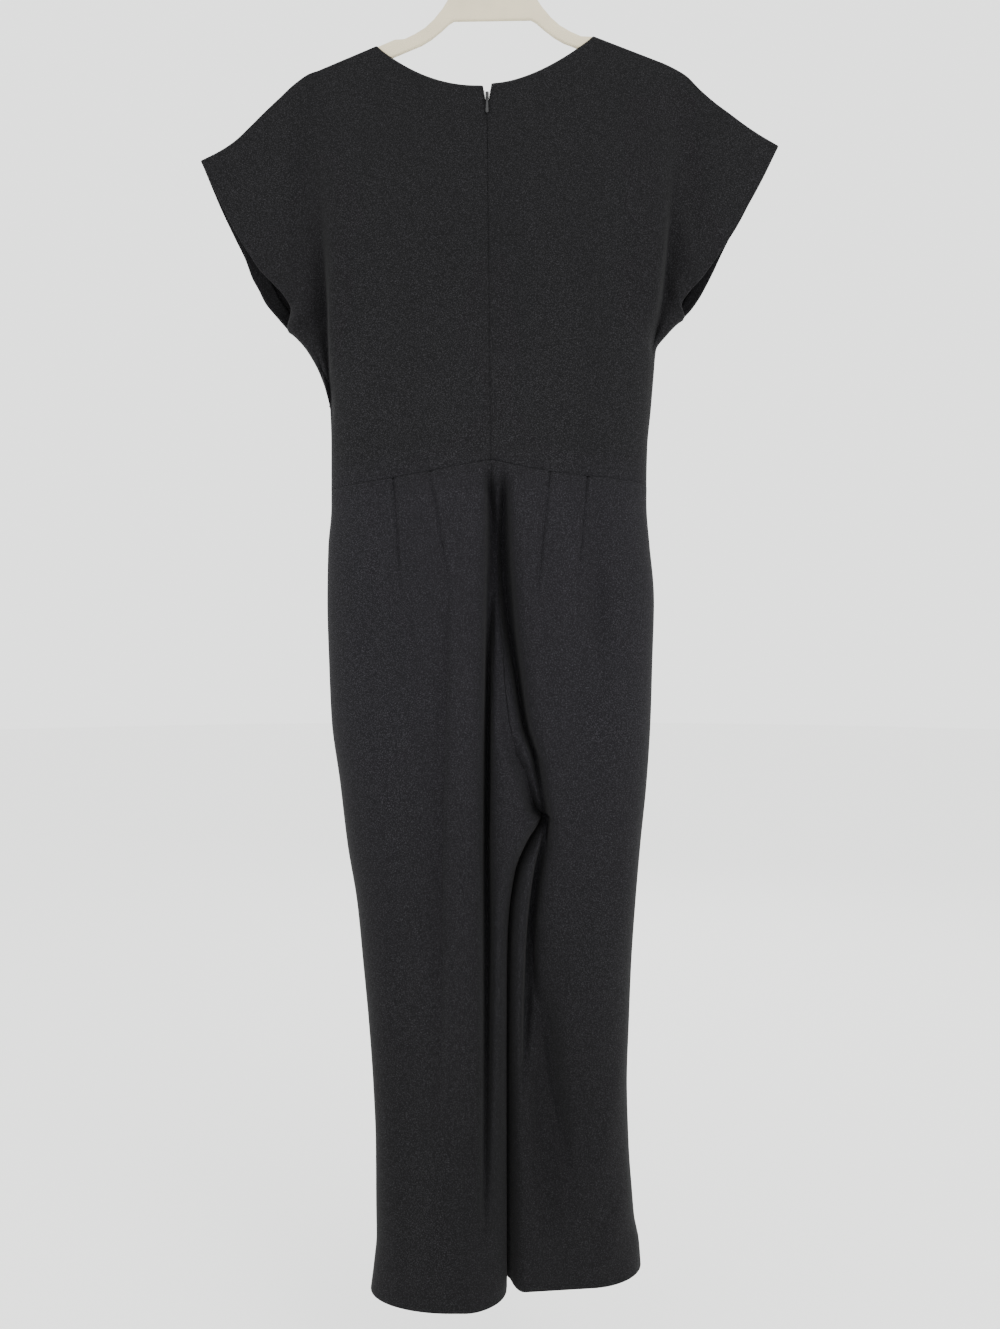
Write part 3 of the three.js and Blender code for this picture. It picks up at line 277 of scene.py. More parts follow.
# Folds of the trousers: the deep ones follow the solids and the shallow ones are the scene's own
LEG_FOLDS = {
    BACK: folds(
        (0.4, 49, 11, 11, 0.95,
             (606, -3.5), (690, -1), (820, -2.5), (1055, -4.5), (1230, -5.5), (1480, -8)),
        (0.45, 55, 9, 14, 0.8,
             (606, 13.5), (660, 15), (700, 15.5), (800, 21.5), (854, 28), (915, 37),
             (952, 48.5), (1062, 68)),
        (0.45, 39, 9, 20, 0.8,
             (995, 61), (1040, 55.5), (1087, 48.5), (1134, 43.5), (1175, 40.5), (1235, 36),
             (1310, 33)),
        (0.45, 9, 9, 9, 0, (612, 4), (700, 6), (800, 10)),
        (0.45, 22, 17, 34, 0.2, (1130, 66), (1230, 57), (1360, 58), (1490, 62)),
        (0.5, 8, 10, 34, 0, (1070, 24), (1300, 20), (1545, 22)),
        (0.4, 7, 20, 5, 0.3, (740, -45), (841, -48), (1105, -54), (1375, -54)),
        (0.5, -6.5, 13, 11, 0, (660, -27), (840, -28), (1080, -30), (1430, -32)),
        (0.5, -5, 15, 16, 0, (660, 76), (820, 80), (980, 86)),
        (0.45, 5, 14, 14, 0, (640, 118), (700, 115), (830, 118)),
        (0.5, 9, 26, 26, 0, (1120, -100), (1330, -90), (1540, -92)),
        (0.5, 5, 15, 15, 0, (722, -124), (820, -130), (918, -128)),
        (0.5, 5, 13, 13, 0, (725, 117), (874, 119)),
        (0.4, 9, 8, 15, 0.3, (1150, 47), (1244, 63), (1320, 72), (1380, 84.5), (1460, 88)),
        (0.4, -2.2, 10, 20, 0, (1270, 150), (1340, 138), (1420, 118)),
        (0.5, -2.5, 14, 18, 0, (1440, 150), (1500, 138), (1545, 122)),
        (0.4, 3.5, 12, 9, 0, (1340, 29), (1380, 38), (1420, 51)),
        (0.5, 2.6, 20, 14, 0, (960, -112), (1100, -100), (1260, -104)),
        (0.5, 2.4, 16, 20, 0, (940, 108), (1060, 128), (1190, 126)),
    ),
    FRONT: folds(
        (0.45, 20, 16, 12, 0.5, (640, -22), (800, -20), (1010, -8), (1330, -28)),
        (0.5, 18, 12, 18, 0.5, (650, 34), (850, 46), (1010, 86), (1300, 66)),
        (0.4, 5, 18, 10, 0, (700, -82), (900, -76), (1160, -84)),
        (0.5, 6.5, 10, 20, 0.4, (690, 96), (820, 104), (960, 122)),
        (0.5, -4, 20, 18, 0, (1080, -66), (1240, -72), (1440, -84)),
        (0.45, 7, 9, 16, 0.4, (1120, 102), (1260, 96), (1420, 108)),
        (0.5, 12, 10, 12, 0.6, (646, -4), (760, 4), (900, 24), (985, 48)),
        (0.4, 9, 14, 9, 0.4, (1040, 14), (1140, -6), (1300, -22), (1400, -38)),
    ),
}
PINCH_GAIN = 1.46

# Shallow folds of the bodice: the sleeves' drag lines and the ease above the waist
BODICE_FOLDS = {
    BACK: folds(
        (0.5, 2.6, 10, 16, 0, (205, -258), (250, -272), (318, -284)),
        (0.45, 9, 18, 20, 0, (185, -208), (290, -213), (430, -216)),
        (0.5, 2.4, 14, 10, 0, (200, 254), (250, 268), (312, 280)),
        (0.45, 9, 18, 18, 0, (185, 218), (280, 224), (390, 232)),
        (0.6, 1.6, 26, 24, 0, (440, -70), (520, -60), (615, -48)),
        (0.6, 1.5, 22, 26, 0, (450, 66), (530, 58), (615, 50)),
        (0.75, 2.2, 20, 20, 0, (500, 0), (560, 0), (640, 0)),
        (0.5, 1.8, 18, 18, 0, (330, -150), (420, -140), (560, -128)),
        (0.5, 1.6, 18, 18, 0, (320, 152), (430, 146), (560, 136)),
    ),
    FRONT: folds(
        (0.5, 2.6, 14, 14, 0, (205, -256), (260, -270), (320, -280)),
        (0.5, 2.4, 14, 14, 0, (205, 252), (260, 266), (310, 276)),
        (0.5, 4, 16, 26, 0, (300, -118), (420, -104), (590, -92)),
        (0.5, 3.6, 26, 16, 0, (290, 124), (430, 108), (600, 98)),
        (0.6, 3, 22, 22, 0, (430, -18), (520, -10), (630, -4)),
    ),
}

# Waist darts: the drop and the place of each one's top, then of its tip
DARTS = [
    (643.5, -107.4, 765, -98), (638.5, -66.5, 765, -44),
    (638.5, 65.2, 775, 51.5), (641, 106.6, 800, 92),
]
DART_DEPTH = 3.2
DART_HALF_WIDTH = 3.2
LEG_HEM_DEPTH = 25
SLEEVE_HEM_DEPTH = 15
HEM_INSET = 1.8

# How far each sewn edge of a side or inner seam passes the middle, so that no light shows
SEAM_OVERLAP = 0.2
SEAM_ROLL = {"height": 1.2, "width": 1.7, "neck_width": 1.8}
PUCKER = {"height": 0.09, "width": 5, "waves": ((2.3, 0), (3.7, 1), (8.1, 2))}

# How the bodice fills out below the shoulders, and how much flatter its sleeves are
BODICE_FILL = {"length": 420, "power": 1.6}
SLEEVE_FLATTENING = 0.45
SLEEVE_START = {"start": 185, "length": 70}

# Levels between which parts of the trousers change: each starts at one drop and takes a length
WAIST_SLOPE_LENGTH = 130
WAIST_HOLD = 32
HEM_FADE_START = 1400
LEGS_PART = {"start": 1000, "length": 26}
INNER_TURN = {"start": 1008, "length": 28}
INNER_HOLD = {"start": 925, "length": 80}

side_line = {side: track(SIDE, side) for side in SIDES}
waist_seam = {side: track(WAIST_SEAM, side, "out") for side in SIDES}
overarm = {side: track(OVERARM[side], "drop", "out") for side in SIDES}
notch_half = track(NOTCH, "half")
bodice_turn = track(BODICE_TURN, "side")


def crest_drop(side, x):
    """Line over the shoulders: along the tilted hanger, then down the overarm."""
    cos, sin = math.cos(HANGER_TILT), math.sin(HANGER_TILT)
    slope = -SIGN[side] * ARM_SLOPE
    arm = -(ARM_PEAK + x * (sin + slope * cos)) / (cos - slope * sin)
    out = np.abs(x)
    return np.where(out > OVERARM[side]["out"][0], overarm[side](out), arm)


def waist_drop(side, face, x):
    """Drop of the waist seam, which arches up at the centre back."""
    out = np.abs(x)
    if face == BACK:
        return waist_seam[side](out)
    return lerp(FRONT_WAIST_DROP, waist_seam[side](WAIST_REACH), (out / WAIST_REACH) ** 2)


def zip_line(drop):
    """Place of the zip's middle, which leans to the centre seam of the trousers."""
    return lerp(ZIP_X, 0, np.clip((drop - NOTCH_FOOT) / (WAIST_DROP - NOTCH_FOOT), 0, 1))


def top_drop(side, face, x):
    """Drop of a bodice panel's upper edge: its neckline, then its shoulder and overarm."""
    start_x, start, curve = NECKLINE[side, face]
    end = NECK_POINT[side]
    share = np.clip((x - start_x) / (end - start_x), 0, 1)
    neckline = lerp(start, crest_drop(side, np.float64(end)), share ** curve)
    return np.where(np.abs(x) < abs(end), neckline, crest_drop(side, x))


def bodice_depth(side, face, x, drop):
    """Distance of a bodice face from the middle plane, without its folds and its edges."""
    below = drop - crest_drop(side, x)
    full = track(BODICE_DEPTH, face)(drop)
    fill = 1 - (1 - np.clip(below / BODICE_FILL["length"], 0, 1)) ** BODICE_FILL["power"]
    sleeve = 1 - SLEEVE_FLATTENING * rise(np.abs(x), **SLEEVE_START)
    return DRAPE_RADIUS * quarter(below / DRAPE_RADIUS) + (full - DRAPE_RADIUS) * fill * sleeve


# Where on the way from the shoulder to the waist the underarm lies
UNDERARM_SHARE = 0.55


def bodice_surface(side, face, s, v):
    """Points of one half of a bodice face. s runs over the stations and v from top to waist."""
    lines, hem = BODICE_LINES[side], SLEEVE_HEM[side]
    tip, underarm = hem["drop"][0], hem["drop"][-1]
    outer_waist = waist_drop(side, face, lines["sleeve"][-1])
    neck_x = NECK_POINT[side]
    centre_drop = NECKLINE[side, face][1]

    def outer_drop(v):
        sleeve = lerp(tip, underarm, v / UNDERARM_SHARE)
        body = lerp(underarm, outer_waist, (v - UNDERARM_SHARE) / (1 - UNDERARM_SHARE))
        return np.where(v < UNDERARM_SHARE, sleeve, body)

    def outer_x(v):
        drop = outer_drop(v)
        below = rise(drop, underarm, 8)
        body = lerp(hem[face][-1], side_line[side](drop), below)
        return np.where(v < UNDERARM_SHARE, track(hem, face)(drop), body)

    def folded(column):
        line = track(lines, column)
        top = crest_drop(side, line(0))
        waist = waist_drop(side, face, line(WAIST_DROP + 50))
        return lambda v: line(lerp(top, waist, v))

    def centre_x(v):
        if face == FRONT:
            return lerp(NECKLINE[side, face][0], 0, v)
        drop = lerp(centre_drop, WAIST_DROP, v)
        return zip_line(drop) + SIGN[side] * notch_half(drop)

    stations = [
        centre_x, lambda v: lerp(neck_x, neck_x * 0.7, v), folded("ridge"), folded("valley"),
        folded("sleeve"), outer_x,
    ]

    def across(v):
        return between(np.stack([station(v) + 0 * s for station in stations]), s)

    x = across(v)
    top = top_drop(side, face, across(0 * v))
    bottom = waist_drop(side, face, across(0 * v + 1)) - SEAM_GAP / 2
    shift = outer_drop(v) - lerp(tip, outer_waist, v)
    drop = lerp(top, bottom, v) + (s / 5) ** 3 * shift
    outer = outer_x(v)
    closing = np.clip(np.cos(math.pi / 2 * np.clip(v / UNDERARM_SHARE, 0, 1) ** 2), 0, 1) ** 0.6
    opened = np.where(v < UNDERARM_SHARE, closing, 0)
    rounding = opened + (1 - opened) * quarter(np.abs(outer - x) / bodice_turn(drop))
    ridge, valley = (track(lines, c)(drop) for c in ("ridge", "valley"))
    out = SIGN[side] * (x - valley)
    room = np.maximum(2, SIGN[side] * (outer - valley))
    width = np.where(out < 0, 0.62 * np.abs(ridge - valley), np.minimum(22, 0.8 * room))
    closed = track(ARMHOLE_FOLD[side], face)(drop) * np.exp(-((out / width) ** 2))
    depth = bodice_depth(side, face, x, drop) * rounding * (1 - closed)
    creases = sum(fold_shift(item, x, drop)[1] for item in BODICE_FOLDS[face])
    depth = depth - creases * smooth(depth / 25)
    return x, SIGN[face] * (depth - SEAM_OVERLAP), drop


def fold_shift(item, x, drop):
    """How far a fold moves a point sideways, which pinches its walls, and inwards."""
    share = np.clip((drop - item["start"]) / (item["end"] - item["start"]), 0, 1)
    strength = np.sin(math.pi * share ** (math.log(0.5) / math.log(item["swell"])))
    strength = np.clip(strength, 0, 1) ** 0.8
    off = x - item["line"](drop)
    width = np.where(off < 0, item["left"], item["right"]) * (0.4 + 0.6 * strength ** 1.5)
    q = off / width
    bell = np.exp(-q * q)
    sideways = -PINCH_GAIN * item["pinch"] * width * strength * q ** 3 * bell
    return sideways, item["depth"] * strength * bell


def dart_depth(x, drop):
    """How far the stitched darts sink the cloth."""
    total = 0 * x
    for top_drop_mm, top_x, tip_drop, tip_x in DARTS:
        share = (drop - top_drop_mm) / (tip_drop - top_drop_mm)
        off = np.abs(x - lerp(top_x, tip_x, np.clip(share, 0, 1))) / DART_HALF_WIDTH
        ends = np.clip(5 * (1 - share), 0, 1)
        total = total + DART_DEPTH * np.clip(1 - off, 0, 1) ** 1.4 * ends
    return total


def inner_edge(side, face, drop):
    """Inner edge of a trouser panel: the centre seam, then the inner leg seam."""
    apart = rise(drop, **LEGS_PART)
    half = SIGN[side] * (SEAM_GAP + (LEG_GAP - SEAM_GAP) * apart) / 2
    above = drop <= CROTCH_DROP
    x = np.where(above, track(CENTRE_SEAM, face + "X")(drop), track(INSEAM, "x")(drop))
    seam = track(CENTRE_SEAM, face + "Y")(drop)
    inseam = track(INSEAM, side)(drop) - SIGN[face] * SEAM_OVERLAP
    return x + half, np.where(above, seam, inseam)


def hem_drop(side, x):
    start, end, inner, outer = HEM[side]
    return lerp(inner, outer, np.clip((x - start) / (end - start), 0, 1))


def lap_shift(off, y, level):
    """Sideways shift of a point at a distance off from the inner leg seam."""
    middle = (track(INSEAM, LEFT)(level) + track(INSEAM, RIGHT)(level)) / 2
    near = np.exp(-((off / LAP["fade"]) ** 2))
    shift = LAP["reach"] * np.tanh((y - middle) / LAP["half"])
    return -shift * near * rise(level, **LAP_START)


def leg_surface(side, face, s, level):
    """Points of a trouser panel. s runs from the side seam over its lines to the inner seam."""
    inner_x, inner_y = inner_edge(side, face, level)
    outer = side_line[side](level)
    lines = LEG_LINES[side]
    at = np.stack([outer, *(track(lines, c)(level) for c in ("outer", "inner", "valley")), inner_x])
    x = between(at, s)
    at_waist = waist_drop(side, face, x) + SEAM_GAP / 2 - WAIST_DROP
    at_hem = hem_drop(side, x) - HEM_DROP
    drop = level + at_waist * (1 - rise(level, WAIST_DROP, WAIST_SLOPE_LENGTH))
    drop = drop + at_hem * rise(level, HEM_FADE_START, HEM_DROP - HEM_FADE_START)
    below = track(LEG_DEPTH[side], face)(level)
    near = SIGN[face] * np.where(level < CROTCH_DROP, track(TRUNK_DEPTH, face)(level), below)
    turn = LEG_TURN[side]
    to_side = 1 - quarter(np.abs(x - outer) / track(turn, "side")(level))
    t = np.abs(inner_x - x) / track(turn, "inner")(level)
    to_inner = 1 - lerp(smooth(t), quarter(t), rise(level, **INNER_TURN))
    lean = SIDE_LEAN[side] * rise(level, CROTCH_DROP, HEM_DROP - CROTCH_DROP)
    side_y = lean - SIGN[face] * SEAM_OVERLAP
    y = near + (side_y - near) * to_side + (inner_y - near) * to_inner
    held = (1 - to_side) * (1 - to_inner * rise(level, **INNER_HOLD))
    held = held * rise(level, WAIST_DROP, WAIST_HOLD)
    sideways = 0 * x
    for item in LEG_FOLDS[face]:
        dx, dy = fold_shift(item, x, level)
        y = y - SIGN[face] * dy * held
        sideways = sideways + dx * held
    sideways = sideways + lap_shift(inner_x - x, y, level)
    if face == BACK:
        y = y + dart_depth(x, drop)
    return x + sideways, y, drop


def deselect():
    bpy.ops.object.select_all(action="DESELECT")


def select_only(*objects):
    deselect()
    for obj in objects:
        obj.select_set(True)
    bpy.context.view_layer.objects.active = objects[0]


def apply_modifier(obj, kind, name, **values):
    select_only(obj)
    modifier = obj.modifiers.new(name, kind)
    for key, value in values.items():
        setattr(modifier, key, value)
    bpy.ops.object.modifier_apply(modifier=modifier.name)


def set_material(obj, material):
    obj.data.materials.clear()
    obj.data.materials.append(material)


def turned_in(x, y, drop, outward, reach, inset):
    """The sheet with its last rows folded in and up, as a hem or a seam allowance is."""
    points = np.stack([x, y, -drop], -1)
    down, over = np.gradient(points, axis=0), np.gradient(points, axis=1)
    normal = np.cross(down, over)
    normal /= np.maximum(np.linalg.norm(normal, axis=-1, keepdims=True), 1e-9)
    if normal[..., 1].mean() * outward < 0:
        normal = -normal
    along = np.cumsum(np.linalg.norm(np.diff(points[::-1], axis=0), axis=-1).mean(1))
    back = np.searchsorted(along, np.linspace(inset, reach, 7)) + 1
    room = np.minimum(inset, 0.9 * np.abs(points[..., 1:2]))
    down /= np.maximum(np.linalg.norm(down, axis=-1, keepdims=True), 1e-9)
    rows = [points]
    for angle in (45, 90, 135):
        bend = math.radians(angle)
        inward = (1 - math.cos(bend)) / 2 * room[-1]
        lower = math.sin(bend) * inset / 2
        rows.append((points[-1] - normal[-1] * inward + down[-1] * lower)[None])
    last = len(points) - 1
    rows += [(points[last - k] - normal[last - k] * room[last - k])[None] for k in back]
    points = np.concatenate(rows)
    return points[..., 0], points[..., 1], -points[..., 2]


def points_of(mesh):
    """A mesh's vertices as rows of x, y and z."""
    flat = np.empty(len(mesh.vertices) * 3)
    mesh.vertices.foreach_get("co", flat)
    return flat.reshape(-1, 3)


def move_points(mesh, points):
    mesh.vertices.foreach_set("co", points.ravel())
    mesh.update()


def cloth_sheet(name, x, y, drop, thickness, outward):
    """Grid primitive whose vertices go to the given points, with the cloth's thickness."""
    rows, columns = x.shape
    deselect()
    bpy.ops.mesh.primitive_grid_add(x_subdivisions=columns - 1, y_subdivisions=rows - 1, size=1)
    obj = bpy.context.active_object
    obj.name = name + "_cloth"
    mesh = obj.data
    start = points_of(mesh)
    column = np.rint((start[:, 0] + 0.5) * (columns - 1)).astype(int)
    row = np.rint((0.5 - start[:, 1]) * (rows - 1)).astype(int)
    move_points(mesh, np.stack([x, y, -drop], -1)[row, column] * MM)
    middle = len(mesh.polygons) // 2
    samples = range(0, len(mesh.polygons), max(1, middle // 40))
    facing = sum(mesh.polygons[i].normal.y for i in samples)
    if facing * outward < 0:
        mesh.flip_normals()
    apply_modifier(obj, "SOLIDIFY", "Cloth thickness", thickness=thickness, offset=0)
    select_only(obj)
    bpy.ops.object.shade_smooth()
    return obj


def spread(*runs):
    """Stations from (from, to, count) runs; a pull after them, over 1, crowds the far end."""
    parts = [
        start + (end - start) * np.linspace(0, 1, count, endpoint=False) ** (1 / pull)
        for start, end, count, pull in ((*run, 1)[:4] for run in runs)
    ]
    return np.concatenate([*parts, [runs[-1][1]]])


def edge_roll(distance, width=SEAM_ROLL["width"]):
    """How far a seam's edge turns in, at a distance from it."""
    return SEAM_ROLL["height"] * np.exp(-((distance / width) ** 2))


def pucker(along, distance):
    """Uneven ripple that the stitches of a seam draw in beside it."""
    ripple = sum(np.sin(along / length + phase) for length, phase in PUCKER["waves"])
    return PUCKER["height"] * ripple * np.exp(-((distance / PUCKER["width"]) ** 2))


def colour_property(name, description, default):
    return FloatVectorProperty(
        name=name, description=description, subtype="COLOR", default=default, min=0, max=1)


class JumpsuitCloth(bpy.types.PropertyGroup):
    thickness: FloatProperty(
        name="Cloth thickness", description="Thickness of the crepe", default=1.1 * MM,
        min=0.5 * MM, max=3 * MM, unit="LENGTH")
    colour: colour_property(
        "Cloth colour", "Colour of the black crepe", (0.0052, 0.0051, 0.0056))
    fleck: colour_property(
        "Fleck colour", "Colour of the crepe's lighter pebbles", (0.0235, 0.0228, 0.0254))
    # Painted sheen: the crepe over the hips is made lighter and bluer, as where the hips catch more
    # light
    hip_sheen_colour: colour_property(
        "Cool colour", "Colour of the crepe over the hips", (0.0066, 0.0063, 0.0074))
    hip_sheen_fleck: colour_property(
        "Cool fleck colour", "Colour of the pebbles over the hips", (0.0262, 0.025, 0.0293))
    pebble: FloatProperty(
        name="Pebble size", description="Spacing of the crepe's pebbles", default=1.05 * MM,
        min=0.3 * MM, max=5 * MM, unit="LENGTH")
    rows: IntProperty(
        name="Rows", description="Rows of the mesh down a trouser leg", default=330,
        min=60, max=600)


class JumpsuitHardware(bpy.types.PropertyGroup):
    hanger_colour: colour_property(
        "Hanger colour", "Colour of the plastic hanger", (0.56, 0.49, 0.34))
    metal_colour: colour_property(
        "Zip colour", "Colour of the zip's lacquered metal", (0.022, 0.022, 0.023))


class JumpsuitStage(bpy.types.PropertyGroup):
    floor_drop: FloatProperty(
        name="Floor", description="Height of the floor below the hook", default=1.72,
        min=1.6, max=3, unit="LENGTH")
    camera_distance: FloatProperty(
        name="Camera distance", description="Distance from the camera to the garment",
        default=1.14, min=0.5, max=5, unit="LENGTH")
    key_power: FloatProperty(
        name="Key light", description="Power of the main soft light", default=34, min=0, max=500,
        unit="POWER")


def new_material(name):
    """New material with its node tree and its shader."""
    material = bpy.data.materials.new(name)
    material.use_nodes = True
    tree = material.node_tree
    return material, tree, tree.nodes["Principled BSDF"]


def set_inputs(item, inputs):
    for key, value in inputs.items():
        item.inputs[key].default_value = value


def link(source, item, socket):
    item.id_data.links.new(source, item.inputs[socket])


def node(tree, kind, inputs=None, **values):
    item = tree.nodes.new(kind)
    for key, value in values.items():
        setattr(item, key, value)
    set_inputs(item, inputs or {})
    return item


def object_place(tree):
    """Coordinates on the object itself."""
    return node(tree, "ShaderNodeTexCoord").outputs["Object"]


def texture(tree, place, kind, inputs, **values):
    """Texture node that is read at a place on the object."""
    item = node(tree, kind, inputs, **values)
    link(place, item, "Vector")
    return item


def noise(tree, place, scale, detail, roughness):
    inputs = {"Scale": scale, "Detail": detail, "Roughness": roughness}
    return texture(tree, place, "ShaderNodeTexNoise", inputs).outputs["Fac"]


def ramp(tree, source, low, high, low_value, high_value):
    """Map Range from a source socket."""
    ends = {"From Min": low, "From Max": high, "To Min": low_value, "To Max": high_value}
    item = node(tree, "ShaderNodeMapRange", ends)
    link(source, item, "Value")
    return item.outputs["Result"]


def multiplied(tree, first, second):
    """Product of two sockets."""
    item = node(tree, "ShaderNodeMath", operation="MULTIPLY")
    link(first, item, 0)
    link(second, item, 1)
    return item.outputs[0]


def two_colours(tree, factor, first, second):
    """Mix of two colours by a factor socket."""
    ends = {"A": (*first, 1), "B": (*second, 1)}
    mix = node(tree, "ShaderNodeMix", ends, data_type="RGBA")
    link(factor, mix, "Factor")
    return mix.outputs["Result"]


def coloured(tree, shader, factor, first, second):
    """Gives the shader a colour between two, by a factor socket."""
    link(two_colours(tree, factor, first, second), shader, "Base Color")


def roughened(tree, shader, source, *ends):
    """Gives the shader a roughness that follows a source socket."""
    link(ramp(tree, source, *ends), shader, "Roughness")


def bump(tree, shader, height, strength, distance):
    item = node(tree, "ShaderNodeBump", {"Strength": strength, "Distance": distance})
    link(height, item, "Height")
    link(item.outputs["Normal"], shader, "Normal")


# Painted light and shade down the garment: the cloth's colour against its mean
PAINTED_SHADING = table(
    "drop tone",
    (100, 0.86), (380, 0.96), (585, 1.11), (900, 1.07), (1180, 0.96), (1420, 0.83), (1575, 0.84),
)


def painted_shading_bands(tree, height):
    """Grey that follows the table of painted light and shade down the garment."""
    bands = node(tree, "ShaderNodeValToRGB")
    bands.color_ramp.interpolation = "EASE"
    stops = list(zip(PAINTED_SHADING["drop"], PAINTED_SHADING["tone"]))
    longest = stops[-1][0]
    while len(bands.color_ramp.elements) < len(stops):
        bands.color_ramp.elements.new(1)
    for element, (drop, tone) in zip(bands.color_ramp.elements, stops):
        element.position = drop / longest
        element.color = (tone, tone, tone, 1)
    link(ramp(tree, height, 0, -longest * MM, 0, 1), bands, "Fac")
    return bands.outputs["Color"]


def crepe_material():
    """Matt pebbly crepe: crinkled grains with lighter tips, a painted lighter, bluer sheen over the
    hips, and painted light and shade down the garment.
    """
    cloth = bpy.context.scene.jumpsuit_cloth
    material, tree, shader = new_material("Black crepe")
    place = object_place(tree)
    hanging = node(tree, "ShaderNodeMapping", {"Scale": (1, 1, 0.16)})
    link(place, hanging, "Vector")
    scale = 1 / cloth.pebble
    grain = texture(tree, place, "ShaderNodeTexVoronoi", {"Scale": scale, "Randomness": 1},
                    feature="SMOOTH_F1")
    crinkle = noise(tree, place, scale * 0.8, 3, 0.65)
    patch = noise(tree, hanging.outputs["Vector"], 16, 3, 0.55)
    pebbles = multiplied(tree, ramp(tree, grain.outputs["Distance"], 0, 0.75, 1, 0), crinkle)
    tips = ramp(tree, pebbles, 0.2, 0.5, 0, 1)
    shade = multiplied(tree, tips, ramp(tree, patch, 0.3, 0.7, 0.78, 1.06))
    neutral = two_colours(tree, shade, cloth.colour, cloth.fleck)
    # Painted sheen: a lighter, bluer copy of the crepe's colours for the hips
    hip_sheen = two_colours(tree, shade, cloth.hip_sheen_colour, cloth.hip_sheen_fleck)
    split = node(tree, "ShaderNodeSeparateXYZ")
    link(place, split, "Vector")
    height = split.outputs["Z"]
    # The painted sheen fades in below the waist and out above the knee
    below_waist = ramp(tree, height, -0.61, -0.66, 0, 1)
    above_knee = ramp(tree, height, -1.3, -0.9, 0, 1)
    hip_sheen_mix = node(tree, "ShaderNodeMix", data_type="RGBA")
    link(multiplied(tree, below_waist, above_knee), hip_sheen_mix, "Factor")
    link(neutral, hip_sheen_mix, "A")
    link(hip_sheen, hip_sheen_mix, "B")
    # Painted light and shade: the colour is multiplied by the bands down the garment
    painted_shading_mix = node(
        tree, "ShaderNodeMix", {"Factor": 1}, data_type="RGBA", blend_type="MULTIPLY")
    link(hip_sheen_mix.outputs["Result"], painted_shading_mix, "A")
    link(painted_shading_bands(tree, height), painted_shading_mix, "B")
    link(painted_shading_mix.outputs["Result"], shader, "Base Color")
    roughened(tree, shader, pebbles, 0.1, 0.5, 0.95, 0.8)
    set_inputs(
        shader, {"Specular IOR Level": 0.07, "Sheen Weight": 0.02, "Sheen Roughness": 0.5})
    bump(tree, shader, pebbles, 0.5, 0.35 * MM)
    return material


def tape_material():
    """Woven zip tape with fine ribs along it."""
    material, tree, shader = new_material("Zip tape")
    ribs = texture(tree, object_place(tree), "ShaderNodeTexWave",
                   {"Scale": 160, "Distortion": 0.6, "Detail": 1}, bands_direction="X")
    coloured(tree, shader, ribs.outputs["Fac"], (0.008, 0.008, 0.009), (0.02, 0.02, 0.021))
    shader.inputs["Roughness"].default_value = 0.9
    bump(tree, shader, ribs.outputs["Fac"], 0.4, 0.2 * MM)
    return material


def marked_material(name, marks, colours, share, rough, relief, metallic=0):
    """Material whose colour, gloss and relief all follow the same fine marks."""
    material, tree, shader = new_material(name)
    fac = noise(tree, object_place(tree), *marks)
    coloured(tree, shader, ramp(tree, fac, *share, 0, 1), *colours)
    roughened(tree, shader, fac, 0.3, 0.7, *rough)
    shader.inputs["Metallic"].default_value = metallic
    bump(tree, shader, fac, *relief)
    return material


def zip_metal_material():
    """Dark lacquered metal with small wear marks."""
    dark = bpy.context.scene.jumpsuit_hardware.metal_colour
    worn = tuple(min(1, c * 2.2) for c in dark)
    return marked_material("Lacquered zip metal", (900, 4, 0.65), (dark, worn), (0.55, 0.75),
                           (0.32, 0.5), (0.15, 0.05 * MM), 0.55)


def coil_material():
    """Nylon coil of the concealed zip, slightly glossy and unevenly dyed."""
    dyes = (0.012, 0.012, 0.013), (0.03, 0.03, 0.031)
    return marked_material("Zip coil", (700, 3, 0.5), dyes, (0, 1), (0.38, 0.55), (0.1, 0.05 * MM))


def steel_material():
    """Plated steel wire with drawing marks."""
    greys = (0.56, 0.56, 0.57), (0.68, 0.68, 0.69)
    return marked_material("Plated steel wire", (650, 5, 0.7), greys, (0, 1), (0.2, 0.34),
                           (0.08, 0.04 * MM), 1)


def hanger_material():
    """Moulded beige plastic: fine grain, faint flow marks and dust."""
    beige = bpy.context.scene.jumpsuit_hardware.hanger_colour
    material, tree, shader = new_material("Beige plastic")
    place = object_place(tree)
    flow = noise(tree, place, 22, 4, 0.6)
    darker = tuple(c * 0.9 for c in beige)
    coloured(tree, shader, ramp(tree, flow, 0.3, 0.7, 0, 1), beige, darker)
    roughened(tree, shader, flow, 0.3, 0.7, 0.42, 0.55)
    bump(tree, shader, noise(tree, place, 1400, 2, 0.5), 0.12, 0.08 * MM)
    return material


def shared(name, make):
    """The material of that name, made once."""
    return bpy.data.materials.get(name) or make()


def stand_for(obj, name, material):
    """Gives a piece its finish and its body, and hides the imported node it stands for."""
    set_material(obj, material)
    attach(obj, "garment")
    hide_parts(name)


def dress(obj, name):
    """Gives a cloth piece the crepe finish and its body, and hides the imported node it stands for.
    """
    stand_for(obj, name, shared("Black crepe", crepe_material))


def neck_roll(side, face, x, drop):
    """The neckline's turned edge, which curls in a little between the shoulders."""
    inside = smooth((abs(NECK_POINT[side]) - np.abs(x)) / 8)
    return edge_roll(drop - top_drop(side, face, x), SEAM_ROLL["neck_width"]) * inside


def sleeve_hem(x, y, drop, face):
    """The sheet with its outer edge folded in: the sleeve's hem and the side seam's allowance."""
    folded = turned_in(x.T, y.T, drop.T, SIGN[face], SLEEVE_HEM_DEPTH, HEM_INSET)
    return [values.T for values in folded]


